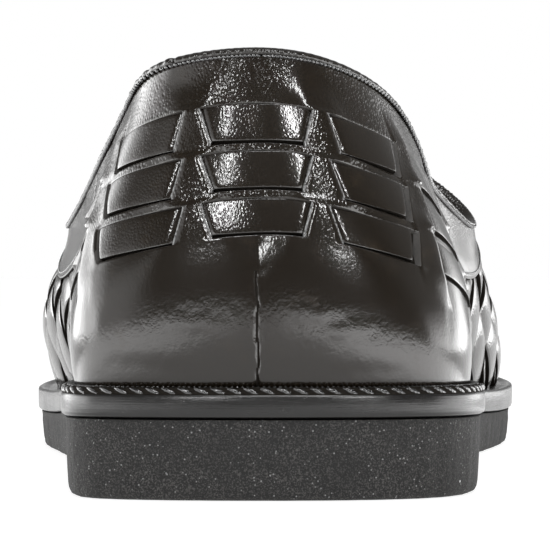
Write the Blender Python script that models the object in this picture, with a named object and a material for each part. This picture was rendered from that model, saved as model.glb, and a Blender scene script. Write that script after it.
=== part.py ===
"""Left shoe of a woven leather loafer on a crepe wedge sole.

The toe points along +Y, the inner side of the foot along +X, and the floor is z = 0. Sizes are in
millimetres until a mesh is made. Every surface comes from one table of sections that goes once
round the shoe: each row says where the welt, the foot of the upper and the topline lie.
"""
from collections import namedtuple
from math import atan2, cos, pi, radians, sin

import bpy
import numpy as np
from mathutils import Vector
from mathutils.geometry import delaunay_2d_cdt

MM = 0.001

# Driving dimensions, in millimetres
LENGTH = 298.0          # outsole, heel to toe
BALL_WIDTH = 106.0      # outsole across the joints
BACK_HEIGHT = 76.5      # floor to the top of the back
WALL = 2.4              # leather and lining together
CLEARANCE = 0.35        # between pieces that meet
BAND_WIDTH = 13.0       # plain band below the topline of the forepart
BINDING_RISE = 1.3      # binding above the cut edge of the upper
INSOLE_THICKNESS = 2.6

# Once round the shoe from the back, by the outer side, the toe and the inner side. Widths are in
# percent of the ball width, lengths of the length and heights of the back height. The shelf is the
# bare welt outside the upper. Bulge and rise place the lower handle of the section's curve, and
# pull (percent of the way back to the foot) and drop place the upper one, in millimetres.
Section = namedtuple(
    "Section",
    "name welt_across welt_along shelf top_across top_along top_height bulge rise pull drop",
)
SECTIONS = (
    Section("back", -0.9, 0.0, 2.8, -2.8, 2.2, 100.0, 2.6, 20, 15, 22),
    Section("outer heel corner", -28.2, 1.8, 2.8, -18.2, 4.2, 97.2, 3.4, 20, 25, 21),
    Section("outer heel", -35.3, 9.2, 3.0, -24.2, 11.1, 90.2, 5.2, 19, 38, 19),
    Section("outer quarter", -36.4, 23.0, 3.2, -29.7, 20.8, 80.2, 5.2, 17, 40, 17),
    Section("outer waist", -38.7, 36.2, 3.6, -34.7, 32.2, 71.9, 6.2, 15, 45, 15),
    Section("outer flank", -44.8, 52.0, 4.2, -40.3, 46.6, 64.4, 8.6, 19, 50, 13),
    Section("outer joint", -49.7, 63.8, 4.2, -37.6, 51.3, 69.2, 8.6, 21, 52, 14),
    Section("outer toe", -47.7, 77.0, 4.2, -26.2, 53.4, 80.3, 6.2, 22, 55, 17),
    Section("outer toe corner", -31.8, 92.0, 4.2, -12.6, 54.2, 89.7, 4.6, 25, 58, 21),
    Section("toe", 3.0, 100.0, 4.2, 0.6, 54.4, 92.6, 4.2, 26, 60, 22),
    Section("inner toe corner", 35.0, 92.8, 4.2, 13.8, 54.2, 89.7, 4.4, 25, 58, 21),
    Section("inner toe", 48.9, 79.8, 3.8, 27.0, 53.4, 80.3, 4.2, 19, 55, 17),
    Section("inner joint", 50.5, 67.6, 3.5, 37.2, 51.4, 69.2, 3.0, 13, 52, 14),
    Section("inner flank", 43.2, 53.0, 3.8, 38.2, 47.0, 64.4, 2.6, 13, 50, 13),
    Section("inner waist", 33.9, 37.6, 3.4, 30.6, 34.4, 71.3, 3.2, 14, 45, 15),
    Section("inner quarter", 33.2, 25.0, 3.0, 26.6, 24.0, 76.4, 3.4, 16, 42, 17),
    Section("inner heel", 34.9, 10.6, 3.0, 20.6, 11.7, 88.6, 3.4, 19, 38, 19),
    Section("inner heel corner", 24.8, 2.2, 2.8, 10.6, 4.4, 96.9, 3.0, 20, 25, 21),
)

# Heights of the sole's layers at stations along the shoe: top of the crepe and top of the welt
Station = namedtuple("Station", "along crepe_top welt_top")
STATIONS = (
    Station(0.0, 13.9, 17.8),
    Station(62.0, 13.1, 17.1),
    Station(105.0, 11.5, 15.8),
    Station(150.0, 9.0, 13.4),
    Station(190.0, 8.1, 12.9),
    Station(220.0, 8.4, 13.4),
    Station(258.0, 10.6, 15.2),
    Station(298.0, 15.6, 20.2),
)
HEEL_FLAT_END = 74.0    # the tread is flat from the back to here
BALL_FLAT_START = 146.0
BALL_FLAT_END = 212.0
ARCH_RISE = 1.6
TOE_SPRING = 8.6
TREAD_ROUND = 1.2       # rounding of the crepe's lower edge
CREPE_INSET = 0.8       # crepe inside the welt's outline, at its top
CREPE_TAPER = 0.7       # further in at the tread
WELT_BEVEL = 0.85       # upper edge of the welt
WELT_TAPER = 0.6        # the welt's side leans in towards its lower edge
LOWER_BEVEL = 0.6
OUTLINE_COUNT = 84      # corners round the sole's layers
INSOLE_COUNT = 60
INSOLE_INSET = 7.8      # insole inside the welt's outline, clear of the upper's wall

# Rows of strap through the quarter: distance of each edge below the topline at the back, where
# the row's middle lies round from the back, and the reaches from there in which a strap shows
Reach = namedtuple("Reach", "start end")
StrapRow = namedtuple("StrapRow", "name top bottom middle reaches")
STRAP_ROWS = (
    StrapRow("upper strap", 10.0, 16.1, 0.5,
             (Reach(-13.5, 13.5), Reach(20.5, 35.4), Reach(41.0, 62.0), Reach(69.0, 91.0))),
    StrapRow("middle strap", 18.0, 24.1, 1.0,
             (Reach(-11.6, 11.6), Reach(18.6, 33.3), Reach(39.5, 61.0), Reach(68.5, 91.0))),
    StrapRow("lower strap", 26.1, 31.8, 1.5,
             (Reach(-10.3, 10.3), Reach(16.3, 31.1), Reach(37.0, 60.0), Reach(68.0, 91.0))),
)
STRAP_DROOP_OUTER = 0.10    # how much farther below the topline the rows run past the heel corners
STRAP_DROOP_INNER = 0.15
STRAP_DROOP_END = 40.0
STRAP_RAISE = 1.0
SLOT_WIDTH = 1.3
QUARTER_LENGTH = 104.0  # back seam to the front edge of the quarter, round the foot of the upper

# Weave of the vamp
STRIP_PITCH = 12.8
STRIP_WIDTH = 9.4
STRIP_ANGLE = radians(39.0)   # from the length of the shoe
STRIP_WAVE = 0.55       # rise and fall of a strip as it passes over and under
STRIP_BED = -0.65       # mean level of the strips, from the outside of the plain leather
POCKET_LEVEL = -1.75    # leather seen behind a gap that isn't open
OPEN_MARGIN = 5.0       # an open gap keeps this far from the edges of the weave
SPINE_BACK = 60.0       # ends of the line under the crown that the vamp is unrolled from
SPINE_FRONT = 240.0
SPINE_LEAN = 0.01       # across per along
WALL_UNROLL = 0.8       # share of the drop below the crown that counts as distance
SNAP_UP = 0.9           # a strip's corner this near an edge of the weave is moved onto it
SNAP_ALONG = 1.2
TOP_STEPS = 80          # corners round the topline
HEEL_END = 80.0         # they are closer together this far round from the back seam
HEEL_SHARE = 2.0
BAND_ROWS = (51.0, 56.5)            # heights of the sheet's rows of corners on the band
QUARTER_ROWS = (0.0, 8.0, 17.0, 56.5)

COLOURS = {
    "black_leather": (0.012, 0.012, 0.012, 1.0),
    "binding_leather": (0.022, 0.016, 0.014, 1.0),
    "lining_leather": (0.03, 0.026, 0.024, 1.0),
    "smooth_rubber": (0.028, 0.028, 0.028, 1.0),
    "crepe_rubber": (0.012, 0.012, 0.012, 1.0),
}


class ClosedSpline:
    """Smooth closed curve through rows of numbers, one row a knot, with even knots."""

    def __init__(self, rows):
        self.rows = np.array(rows, float)
        count = len(self.rows)
        system = 4.0 * np.eye(count) + np.roll(np.eye(count), 1, 0) + np.roll(np.eye(count), -1, 0)
        jumps = np.roll(self.rows, -1, 0) - 2 * self.rows + np.roll(self.rows, 1, 0)
        self.bends = np.linalg.solve(system, 6.0 * jumps)

    def __call__(self, turn):
        count = len(self.rows)
        place = (turn % 1.0) * count
        first = int(place) % count
        second = (first + 1) % count
        b = place - int(place)
        a = 1.0 - b
        bend = (a ** 3 - a) * self.bends[first] + (b ** 3 - b) * self.bends[second]
        return a * self.rows[first] + b * self.rows[second] + bend / 6.0


class OpenSpline:
    """Natural cubic through (x, y) knots, for heights along the shoe."""

    def __init__(self, xs, ys):
        self.xs = np.array(xs, float)
        self.ys = np.array(ys, float)
        count = len(self.xs)
        gaps = np.diff(self.xs)
        system = np.eye(count)
        right = np.zeros(count)
        for i in range(1, count - 1):
            system[i, i - 1:i + 2] = gaps[i - 1], 2 * (gaps[i - 1] + gaps[i]), gaps[i]
            right[i] = 6 * ((self.ys[i + 1] - self.ys[i]) / gaps[i]
                            - (self.ys[i] - self.ys[i - 1]) / gaps[i - 1])
        self.bends = np.linalg.solve(system, right)

    def __call__(self, x):
        x = min(max(x, self.xs[0]), self.xs[-1])
        i = min(int(np.searchsorted(self.xs, x, side="right")) - 1, len(self.xs) - 2)
        gap = self.xs[i + 1] - self.xs[i]
        b = (x - self.xs[i]) / gap
        a = 1.0 - b
        bend = (a ** 3 - a) * self.bends[i] + (b ** 3 - b) * self.bends[i + 1]
        return a * self.ys[i] + b * self.ys[i + 1] + bend * gap * gap / 6.0


def smooth(x):
    """Ease from 0 to 1."""
    x = min(max(x, 0.0), 1.0)
    return x * x * (3 - 2 * x)


# ---------------------------------------------------------------- sole

welt_line = ClosedSpline([
    (s.welt_across * BALL_WIDTH / 100, s.welt_along * LENGTH / 100, s.shelf) for s in SECTIONS])
top_line = ClosedSpline([
    (s.top_across * BALL_WIDTH / 100, s.top_along * LENGTH / 100, s.top_height * BACK_HEIGHT / 100,
     s.bulge, s.rise, s.pull / 100, s.drop) for s in SECTIONS])
crepe_top = OpenSpline([s.along for s in STATIONS], [s.crepe_top for s in STATIONS])
welt_top = OpenSpline([s.along for s in STATIONS], [s.welt_top for s in STATIONS])


def tread(along):
    """Height of the underside of the crepe."""
    if along < HEEL_FLAT_END or BALL_FLAT_START < along < BALL_FLAT_END:
        return 0.0
    if along < BALL_FLAT_START:
        share = (along - HEEL_FLAT_END) / (BALL_FLAT_START - HEEL_FLAT_END)
        return ARCH_RISE * sin(pi * share) ** 2
    return TOE_SPRING * ((along - BALL_FLAT_END) / (LENGTH - BALL_FLAT_END)) ** 2


def outline_point(turn, inset=0.0):
    """Point of the welt's outline and its outward direction, moved in by inset."""
    here = welt_line(turn)[:2]
    ahead = welt_line(turn + 0.001)[:2]
    behind = welt_line(turn - 0.001)[:2]
    along = (ahead - behind) / np.linalg.norm(ahead - behind)
    outward = np.array((-along[1], along[0]))
    return here - inset * outward, outward


def even_turns(count, extra=0.0):
    """Turns that share out the outline's length evenly, closer together at its round ends."""
    fine = np.linspace(0.0, 1.0, 721)
    points = np.array([outline_point(t)[0] for t in fine])
    steps = np.linalg.norm(np.diff(points, axis=0), axis=1)
    along = points[1:, 1]
    ends = (along < 26) | (along > 246)
    weights = np.concatenate([[0.0], np.cumsum(steps * (1.0 + extra * ends))])
    return np.interp(np.arange(count) / count * weights[-1], weights, fine)


def band_solid(name, material, layers, count):
    """Closed solid of rings of one outline: layers give (inset, height function) from the top down.

    The caps are strips across the shoe, so a part of the tread that should be flat is flat.
    """
    turns = even_turns(count, 0.6)
    verts = []
    for inset, height in layers:
        for turn in turns:
            place, _ = outline_point(turn, inset)
            verts.append((place[0], place[1], height(place[1])))
    faces = []
    for layer in range(len(layers) - 1):
        for i in range(count):
            j = (i + 1) % count
            top, low = layer * count, (layer + 1) * count
            faces.append((top + i, top + j, low + j, low + i))
    half = count // 2
    for base, flip in ((0, False), ((len(layers) - 1) * count, True)):
        for i in range(half):
            left, left_next = i, i + 1
            right, right_next = (count - i) % count, count - i - 1
            ring = [left, left_next, right_next, right]
            ring = [base + k for n, k in enumerate(ring) if k not in ring[:n]]
            faces.append(ring if flip else ring[::-1])
    return make_object(name, material, verts, faces)


# ---------------------------------------------------------------- upper

CURVE_STEPS = np.linspace(0.0, 1.0, 33)


def section_handles(turn):
    """Four points of the section's curve, from the foot of the upper to the topline."""
    shelf = welt_line(turn)[2]
    foot_place, outward = outline_point(turn, shelf)
    top = top_line(turn)
    bulge, rise, pull, drop = top[3:]
    foot = np.array((*foot_place, welt_top(foot_place[1]) + CLEARANCE))
    low = foot + np.array((*(outward * bulge), rise))
    crown = top[:3]
    high = crown + np.array((*(pull * (foot - crown)[:2]), -drop))
    return foot, low, high, crown


def section_curve(turn):
    """Points along the section's curve and the girth up to each."""
    foot, low, high, crown = section_handles(turn)
    t = CURVE_STEPS[:, None]
    points = ((1 - t) ** 3 * foot + 3 * (1 - t) ** 2 * t * low
              + 3 * (1 - t) * t * t * high + t ** 3 * crown)
    girth = np.concatenate([[0.0], np.cumsum(np.linalg.norm(np.diff(points, axis=0), axis=1))])
    return points, girth


class UpperSurface:
    """Outside of the upper by (turn, level): 0 is the welt, BAND the band's lower edge, 1 the cut edge.

    Curves are kept at fixed turns and blended between, which is quick and smooth.
    """

    BAND = 0.7
    ROWS = 64

    def __init__(self, count=720):
        self.count = count
        self.curves = [section_curve(i / count) for i in range(count)]
        self.lengths = np.array([girth[-1] - BINDING_RISE for _, girth in self.curves])
        shares = np.linspace(0.0, 1.0, self.ROWS + 1)
        self.shared = np.array([
            [np.interp(shares * length, girth, points[:, k]) for k in range(3)]
            for (points, girth), length in zip(self.curves, self.lengths)]).transpose(0, 2, 1)
        feet = self.shared[:, 0, :2]
        steps = np.linalg.norm(np.roll(feet, -1, 0) - feet, axis=1)
        self.round = np.concatenate([[0.0], np.cumsum(steps)])

    def length(self, turn):
        place = (turn % 1.0) * self.count
        i = int(place)
        b = place - i
        return (1 - b) * self.lengths[i % self.count] + b * self.lengths[(i + 1) % self.count]

    def share(self, turn, level):
        """Girth share of a level, where levels above BAND fill the band's own width."""
        band = BAND_WIDTH / self.length(turn)
        if level <= self.BAND:
            return level / self.BAND * (1 - band)
        return 1 - band * (1 - level) / (1 - self.BAND)

    def point(self, turn, level):
        share = min(max(self.share(turn, level), 0.0), 1.0) * self.ROWS
        row = min(int(share), self.ROWS - 1)
        c = share - row
        place = (turn % 1.0) * self.count
        i = int(place) % self.count
        b = place - int(place)
        near, far = self.shared[i], self.shared[(i + 1) % self.count]
        low = (1 - b) * near[row] + b * far[row]
        high = (1 - b) * near[row + 1] + b * far[row + 1]
        return (1 - c) * low + c * high

    def frame(self, turn, level):
        """Point, outward normal and upward direction."""
        low, high = max(level - 0.02, 0.0), min(level + 0.02, 1.0)
        up = self.point(turn, high) - self.point(turn, low)
        along = self.point(turn + 0.002, level) - self.point(turn - 0.002, level)
        normal = np.cross(up, along)
        return self.point(turn, level), normal / np.linalg.norm(normal), up / np.linalg.norm(up)

    def turn_at(self, distance):
        """Turn that lies this far round the foot of the upper from the back seam."""
        share = np.interp(distance % self.round[-1], self.round, np.arange(self.count + 1))
        return float(share) / self.count


SHEET_HEIGHT = 60.0     # height of the flat sheet that the upper's pattern is drawn on
GRID = 64.0             # the sheet's points sit on a grid of 1/64 mm, so that shared ones agree


def on_grid(value):
    return round(value * GRID) / GRID


class Cell:
    """Triangle of the sheet: its corners' numbers and places, their levels and the gap it is in."""

    def __init__(self, ring, corners):
        self.ring = ring
        self.corners = corners
        self.centre = np.mean(corners, axis=0)
        (ax, ay), (bx, by), (cx, cy) = corners
        self.area = abs((bx - ax) * (cy - ay) - (cx - ax) * (by - ay)) / 2
        self.levels = None
        self.gap = None

    def level(self, n):
        return -WALL if self.levels is None else round(self.levels[n], 4)


class UpperPattern:
    """The upper's pattern as a flat sheet, cut into triangles, then given its levels and wall.

    A point of the sheet is (distance round from the back seam, height on the sheet).
    """

    def __init__(self, surface):
        self.surface = surface
        self.end = on_grid(surface.round[-1])
        self.band_line = on_grid(surface.BAND * SHEET_HEIGHT)
        self.left = on_grid(QUARTER_LENGTH)
        self.right = on_grid(self.end - QUARTER_LENGTH)
        self.points = []
        self.index = {}
        self.edges = set()
        toe, _ = section_curve(self.surface.turn_at(self.end / 2))
        crest = [p for p in toe if p[1] <= SPINE_FRONT + 8]
        self.crest_along = [p[1] for p in crest][::-1]
        self.crest_height = [p[2] for p in crest][::-1]

    # Places on the sheet

    def add(self, u, v):
        key = (on_grid(u), on_grid(v))
        if key not in self.index:
            self.index[key] = len(self.points)
            self.points.append(key)
        return self.index[key]

    def line(self, places):
        ids = [self.add(*p) for p in places]
        for a, b in zip(ids, ids[1:]):
            if a != b:
                self.edges.add((min(a, b), max(a, b)))

    def surface_point(self, u, v):
        """Point in space; below the sheet's lower edge it runs on in a straight line."""
        turn = self.surface.turn_at(u) if 0 <= u < self.end else u / self.end
        if v >= 0:
            return self.surface.point(turn, v / SHEET_HEIGHT)
        base = self.surface.point(turn, 0.0)
        return base + (self.surface.point(turn, 0.05) - base) * v / (0.05 * SHEET_HEIGHT)

    def height_below_top(self, u, distance):
        """Sheet height of the place this far below the topline."""
        turn = self.surface.turn_at(u)
        below = distance - BINDING_RISE
        if below < BAND_WIDTH:
            level = 1 - (1 - self.surface.BAND) * below / BAND_WIDTH
        else:
            length = self.surface.length(turn)
            level = (1 - below / length) * self.surface.BAND / (1 - BAND_WIDTH / length)
        return level * SHEET_HEIGHT

    # Straps of the quarter

    def strap_height(self, row_distance, u):
        outer = u < self.end / 2
        droop = STRAP_DROOP_OUTER if outer else STRAP_DROOP_INNER
        past = smooth((u if outer else self.end - u) / STRAP_DROOP_END)
        return self.height_below_top(u, row_distance * (1 + droop * past))

    def strap_at(self, u, v):
        """What lies at a place of the quarter: a strap, a slot or plain leather."""
        for row in STRAP_ROWS:
            side = u - row.middle if u < self.end / 2 else self.end - u + row.middle
            if self.strap_height(row.bottom, u) < v < self.strap_height(row.top, u):
                for n, reach in enumerate(row.reaches):
                    if reach.start < side < reach.end:
                        return "strap"
                    if n and reach.end < side < reach.end + SLOT_WIDTH:
                        return "slot"
        return "plain"

    def draw_straps(self):
        for mirrored in (False, True):
            for row in STRAP_ROWS:
                back, away = (self.end, -1) if mirrored else (0.0, 1)
                for n, reach in enumerate(row.reaches):
                    start = reach.start if n else -away * row.middle
                    stops = np.linspace(start, reach.end, max(2, int((reach.end - start) / 8) + 2))
                    if n:
                        stops = np.append(stops, reach.end + SLOT_WIDTH)
                    sides = [back + row.middle + away * s for s in stops]
                    tops = [(u, self.strap_height(row.top, u)) for u in sides]
                    lows = [(u, self.strap_height(row.bottom, u)) for u in sides]
                    self.line(tops)
                    self.line(lows)
                    ends = [-1, -2] if n else [-1]
                    if n:
                        ends.append(0)
                    for k in ends:
                        self.line([tops[k], lows[k]])

    # Strips of the vamp

    def crown(self, along):
        return float(np.interp(along, self.crest_along, self.crest_height))

    def unrolled(self, u, v):
        """Place on the unrolled vamp, measured from a spine under its crown."""
        x, y, z = self.surface_point(u, v)
        spine = min(max(y, SPINE_BACK), SPINE_FRONT)
        offset = np.array((x - SPINE_LEAN * spine, y - spine))
        reach = np.linalg.norm(offset) + 1e-9
        away = reach + WALL_UNROLL * (self.crown(spine) - z)
        return offset / reach * away + np.array((0.0, spine))

    def strip_coordinates(self, u, v):
        """Strip numbers of the two families of strips at a place; whole numbers are centre lines."""
        a, b = self.unrolled(u, v)
        one = a * cos(STRIP_ANGLE) - b * sin(STRIP_ANGLE)
        two = a * cos(STRIP_ANGLE) + b * sin(STRIP_ANGLE)
        return np.array((one, two)) / STRIP_PITCH

    def sample_weave(self):
        us = np.arange(self.left - 12, self.right + 12, 4.0)
        vs = np.arange(-6, self.band_line + 8, 3.0)
        self.samples = np.array([(u, v) for u in us for v in vs])
        self.sample_strips = np.array([self.strip_coordinates(u, v) for u, v in self.samples])

    def place_of(self, target):
        """Place on the sheet with these strip numbers, or None where the sheet doesn't reach it."""
        target = np.array(target)
        gaps = np.linalg.norm(self.sample_strips - target, axis=1)
        nearest = int(gaps.argmin())
        if gaps[nearest] > 0.9:
            return None
        place = self.samples[nearest].copy()
        for _ in range(8):
            here = self.strip_coordinates(*place)
            miss = target - here
            if np.abs(miss).max() < 1e-4:
                break
            along = (self.strip_coordinates(place[0] + 0.5, place[1]) - here) / 0.5
            up = (self.strip_coordinates(place[0], place[1] + 0.5) - here) / 0.5
            step = np.linalg.lstsq(np.array([along, up]).T, miss, rcond=None)[0]
            place += np.clip(step, -6, 6)
        return place if np.abs(target - self.strip_coordinates(*place)).max() < 0.02 else None

    def inside_weave(self, place, margin=0.0):
        return (self.left + margin <= place[0] <= self.right - margin
                and margin <= place[1] <= self.band_line - margin)

    def snapped(self, place):
        """Moves a place that all but lies on an edge of the weave onto it."""
        u, v = place
        for edge in (0.0, self.band_line):
            v = edge if abs(v - edge) < SNAP_UP else v
        for edge in (self.left, self.right):
            u = edge if abs(u - edge) < SNAP_ALONG else u
        return np.array((on_grid(u), on_grid(v)))

    def clipped(self, inner, outer):
        """Where the line from an inner place to an outer one leaves the weave."""
        share = 1.0
        for k, low, high in ((0, self.left, self.right), (1, 0.0, self.band_line)):
            if outer[k] < low:
                share = min(share, (low - inner[k]) / (outer[k] - inner[k]))
            if outer[k] > high:
                share = min(share, (high - inner[k]) / (outer[k] - inner[k]))
        return self.snapped(inner + share * (outer - inner))

    def draw_weave(self):
        self.sample_weave()
        half = STRIP_WIDTH / STRIP_PITCH / 2
        low = np.floor(self.sample_strips.min(axis=0)).astype(int)
        high = np.ceil(self.sample_strips.max(axis=0)).astype(int)
        rows = [i + side for i in range(low[0], high[0] + 1) for side in (-half, half)]
        columns = [j + side for j in range(low[1], high[1] + 1) for side in (-half, half)]
        nodes = {}
        for i, one in enumerate(rows):
            for j, two in enumerate(columns):
                place = self.place_of((one, two))
                if place is not None:
                    nodes[i, j] = self.snapped(place)
        for (i, j), place in nodes.items():
            for other in (nodes.get((i + 1, j)), nodes.get((i, j + 1))):
                if other is None or np.linalg.norm(other - place) > 60:
                    continue
                here, there = self.inside_weave(place), self.inside_weave(other)
                if here and there:
                    self.line([place, other])
                elif here:
                    self.line([place, self.clipped(place, other)])
                elif there:
                    self.line([other, self.clipped(other, place)])

    def weave_at(self, u, v):
        """Which strip is on top at a place of the vamp: 'one', 'two', or a gap."""
        one, two = self.strip_coordinates(u, v)
        half = STRIP_WIDTH / STRIP_PITCH / 2
        on_one, on_two = abs(one - round(one)) < half, abs(two - round(two)) < half
        if on_one and on_two:
            return "one" if (round(one) + round(two)) % 2 == 0 else "two"
        if on_one:
            return "one"
        return "two" if on_two else "gap"

    def strip_level(self, family, u, v):
        one, two = self.strip_coordinates(u, v)
        if family == "one":
            return STRIP_BED + STRIP_WAVE * cos(pi * (two + round(one)))
        return STRIP_BED - STRIP_WAVE * cos(pi * (one + round(two)))

    # Making the solid

    def draw_edges(self, top_stops):
        """Rims of the sheet, the band's lower edge and the quarter's front edges."""
        self.line([(u, SHEET_HEIGHT) for u in top_stops])
        self.line([(0.0, 0.0), (self.end, 0.0)])
        self.line([(self.left, self.band_line), (self.right, self.band_line)])
        for u in (self.left, self.right):
            self.line([(u, 0.0), (u, self.band_line)])
        for u in top_stops:
            for v in BAND_ROWS if self.left <= u <= self.right else QUARTER_ROWS:
                self.add(u, v)

    def cut(self):
        """Cells of the sheet, with the ends of the sheet sharing their corners."""
        made = delaunay_2d_cdt([Vector(p) for p in self.points], sorted(self.edges), [], 0, 1e-3)
        places = [(p.x, p.y) for p in made[0]]
        merged, same = {}, []
        for u, v in places:
            key = (0.0 if u >= self.end - 1e-3 else round(u, 3), round(v, 3))
            same.append(merged.setdefault(key, len(same)))
        self.places = places
        self.cells = []
        for triangle in made[2]:
            ring = [same[k] for k in triangle]
            if len(set(ring)) == 3:
                self.cells.append(Cell(ring, [places[k] for k in triangle]))

    def set_levels(self):
        """Gives each cell the level of its corners, or None where the wall is open."""
        for cell in self.cells:
            u, v = cell.centre
            if self.left < u < self.right and v < self.band_line:
                family = self.weave_at(u, v)
                if family == "gap":
                    cell.gap = tuple(np.floor(self.strip_coordinates(u, v)).astype(int))
                    cell.levels = None if self.open_gap(cell.gap) else [POCKET_LEVEL] * 3
                else:
                    cell.levels = [self.strip_level(family, *c) for c in cell.corners]
            else:
                kind = self.strap_at(u, v)
                level = STRAP_RAISE if kind == "strap" else 0.0
                cell.levels = None if kind == "slot" else [level] * 3

    def open_gap(self, gap):
        """Whether this gap between strips is a whole one, clear of the weave's edges."""
        centre = self.place_of((gap[0] + 0.5, gap[1] + 0.5))
        return centre is not None and self.inside_weave(centre, OPEN_MARGIN)

    def fill_pinches(self):
        """Fills small gaps until the wall nowhere touches itself at an upright edge."""
        areas = {}
        for cell in self.cells:
            areas[cell.gap] = areas.get(cell.gap, 0.0) + cell.area
        filled = {None}
        while True:
            smallest = {min(gaps - filled, key=areas.get)
                        for gaps in self.pinches() if gaps - filled}
            if not smallest:
                return
            filled |= smallest
            for cell in self.cells:
                if cell.gap in smallest:
                    cell.levels = [self.strip_level("one", *c) for c in cell.corners]

    def pinches(self):
        """Gaps round each corner where the levels go down and up again more than once."""
        around = {}
        for cell in self.cells:
            for n, k in enumerate(cell.ring):
                (u, v), (x, y) = cell.centre, cell.corners[n]
                around.setdefault(k, []).append((atan2(v - y, u - x), cell.level(n), cell.gap))
        for k, sectors in around.items():
            if self.places[k][1] in (0.0, SHEET_HEIGHT):
                sectors.append((-pi / 2 if self.places[k][1] == 0.0 else pi / 2, -WALL, None))
            sectors.sort(key=lambda sector: sector[0])
            levels = [level for _, level, _ in sectors]
            for cut in {0.5 * (a + b) for a, b in zip(sorted(levels), sorted(levels)[1:]) if b > a}:
                above = [level > cut for level in levels]
                if sum(a != b for a, b in zip(above, above[1:] + above[:1])) > 2:
                    yield {gap for _, _, gap in sectors}
                    break

    def solid(self):
        """Corners and faces of the closed wall."""
        used = {}
        for cell in self.cells:
            for n, k in enumerate(cell.ring):
                used.setdefault(k, {-WALL}).add(cell.level(n))
        frames = {k: self.surface.frame(self.surface.turn_at(self.places[k][0]),
                                        self.places[k][1] / SHEET_HEIGHT) for k in used}
        verts, number = [], {}

        def vertex(k, level):
            if (k, level) not in number:
                place, normal, _ = frames[k]
                spot = place + normal * level
                number[k, level] = len(verts)
                verts.append((spot[0], spot[1], max(spot[2], welt_top(spot[1]) + CLEARANCE)))
            return number[k, level]

        faces, sides = [], {}
        for cell in self.cells:
            if cell.levels is not None:
                faces.append([vertex(k, cell.level(n)) for n, k in enumerate(cell.ring)][::-1])
                faces.append([vertex(k, -WALL) for k in cell.ring])
            for n in range(3):
                m = (n + 1) % 3
                a, b = cell.ring[n], cell.ring[m]
                sides.setdefault(frozenset((a, b)), []).append((a, b, cell.level(n), cell.level(m)))
        for entries in sides.values():
            if len(entries) == 1:
                a, b, _, _ = entries[0]
                entries.append((b, a, -WALL, -WALL))
            entries.sort(key=lambda entry: entry[2] + entry[3])
            (_, _, low_b, low_a), (a, b, high_a, high_b) = entries
            ring = [(a, high_a), (b, high_b)]
            ring += sorted(((b, h) for h in used[b] if low_b < h < high_b), reverse=True)
            ring += [(b, low_b), (a, low_a)]
            ring += sorted((a, h) for h in used[a] if low_a < h < high_a)
            ids = list(dict.fromkeys(vertex(k, h) for k, h in ring))
            if len(ids) > 2:
                faces.append(ids)
        return verts, faces


def make_top_stops(surface):
    """Distances round the foot of the upper at which the topline has corners."""
    fine = np.linspace(0.0, on_grid(surface.round[-1]), 665)
    near_heel = np.minimum(fine, fine[-1] - fine) < HEEL_END
    weight = np.concatenate([[0.0], np.cumsum(np.where(near_heel[1:], HEEL_SHARE, 1.0))])
    return [on_grid(u) for u in np.interp(np.linspace(0.0, weight[-1], TOP_STEPS + 1), weight, fine)]


def make_upper(surface, top_stops):
    pattern = UpperPattern(surface)
    pattern.draw_edges(top_stops)
    pattern.draw_straps()
    pattern.draw_weave()
    pattern.cut()
    pattern.set_levels()
    pattern.fill_pinches()
    verts, faces = pattern.solid()
    return make_object("upper", "black_leather", verts, faces)


# ---------------------------------------------------------------- binding

# Folded strip over the cut edge: (out from the leather, up from the cut edge), in millimetres
BINDING_PROFILE = (
    (1.15, -0.75), (1.15, 0.5), (0.2, BINDING_RISE), (-WALL - 0.2, BINDING_RISE), (-WALL - 1.15, 0.5),
    (-WALL - 1.15, -2.3), (-WALL - CLEARANCE, -2.3), (-WALL - CLEARANCE, CLEARANCE),
    (CLEARANCE, CLEARANCE), (CLEARANCE, -0.75),
)


def make_binding(surface, top_stops):
    verts, faces = [], []
    stops = top_stops[:-1]
    size = len(BINDING_PROFILE)
    for u in stops:
        place, normal, up = surface.frame(surface.turn_at(u), 1.0)
        for out, rise in BINDING_PROFILE:
            verts.append(place + normal * out + up * rise)
    for i in range(len(stops)):
        j = (i + 1) % len(stops)
        for k in range(size):
            m = (k + 1) % size
            faces.append((i * size + k, i * size + m, j * size + m, j * size + k))
    return make_object("collar_binding", "binding_leather", verts, faces)


# ---------------------------------------------------------------- objects

def make_material(name):
    material = bpy.data.materials.new(name)
    material.use_nodes = True
    shader = material.node_tree.nodes["Principled BSDF"]
    shader.inputs["Base Color"].default_value = COLOURS[name]
    shader.inputs["Roughness"].default_value = 0.85 if name == "crepe_rubber" else 0.35
    return material


def make_object(name, material, verts, faces):
    mesh = bpy.data.meshes.new(name)
    mesh.from_pydata([tuple(c * MM for c in v) for v in verts], [], [list(f) for f in faces])
    mesh.validate()
    mesh.materials.append(make_material(material) if material not in bpy.data.materials
                          else bpy.data.materials[material])
    obj = bpy.data.objects.new(name, mesh)
    bpy.context.scene.collection.objects.link(obj)
    return obj


def half_way(along):
    return 0.5 * (crepe_top(along) + tread(along))


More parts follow.
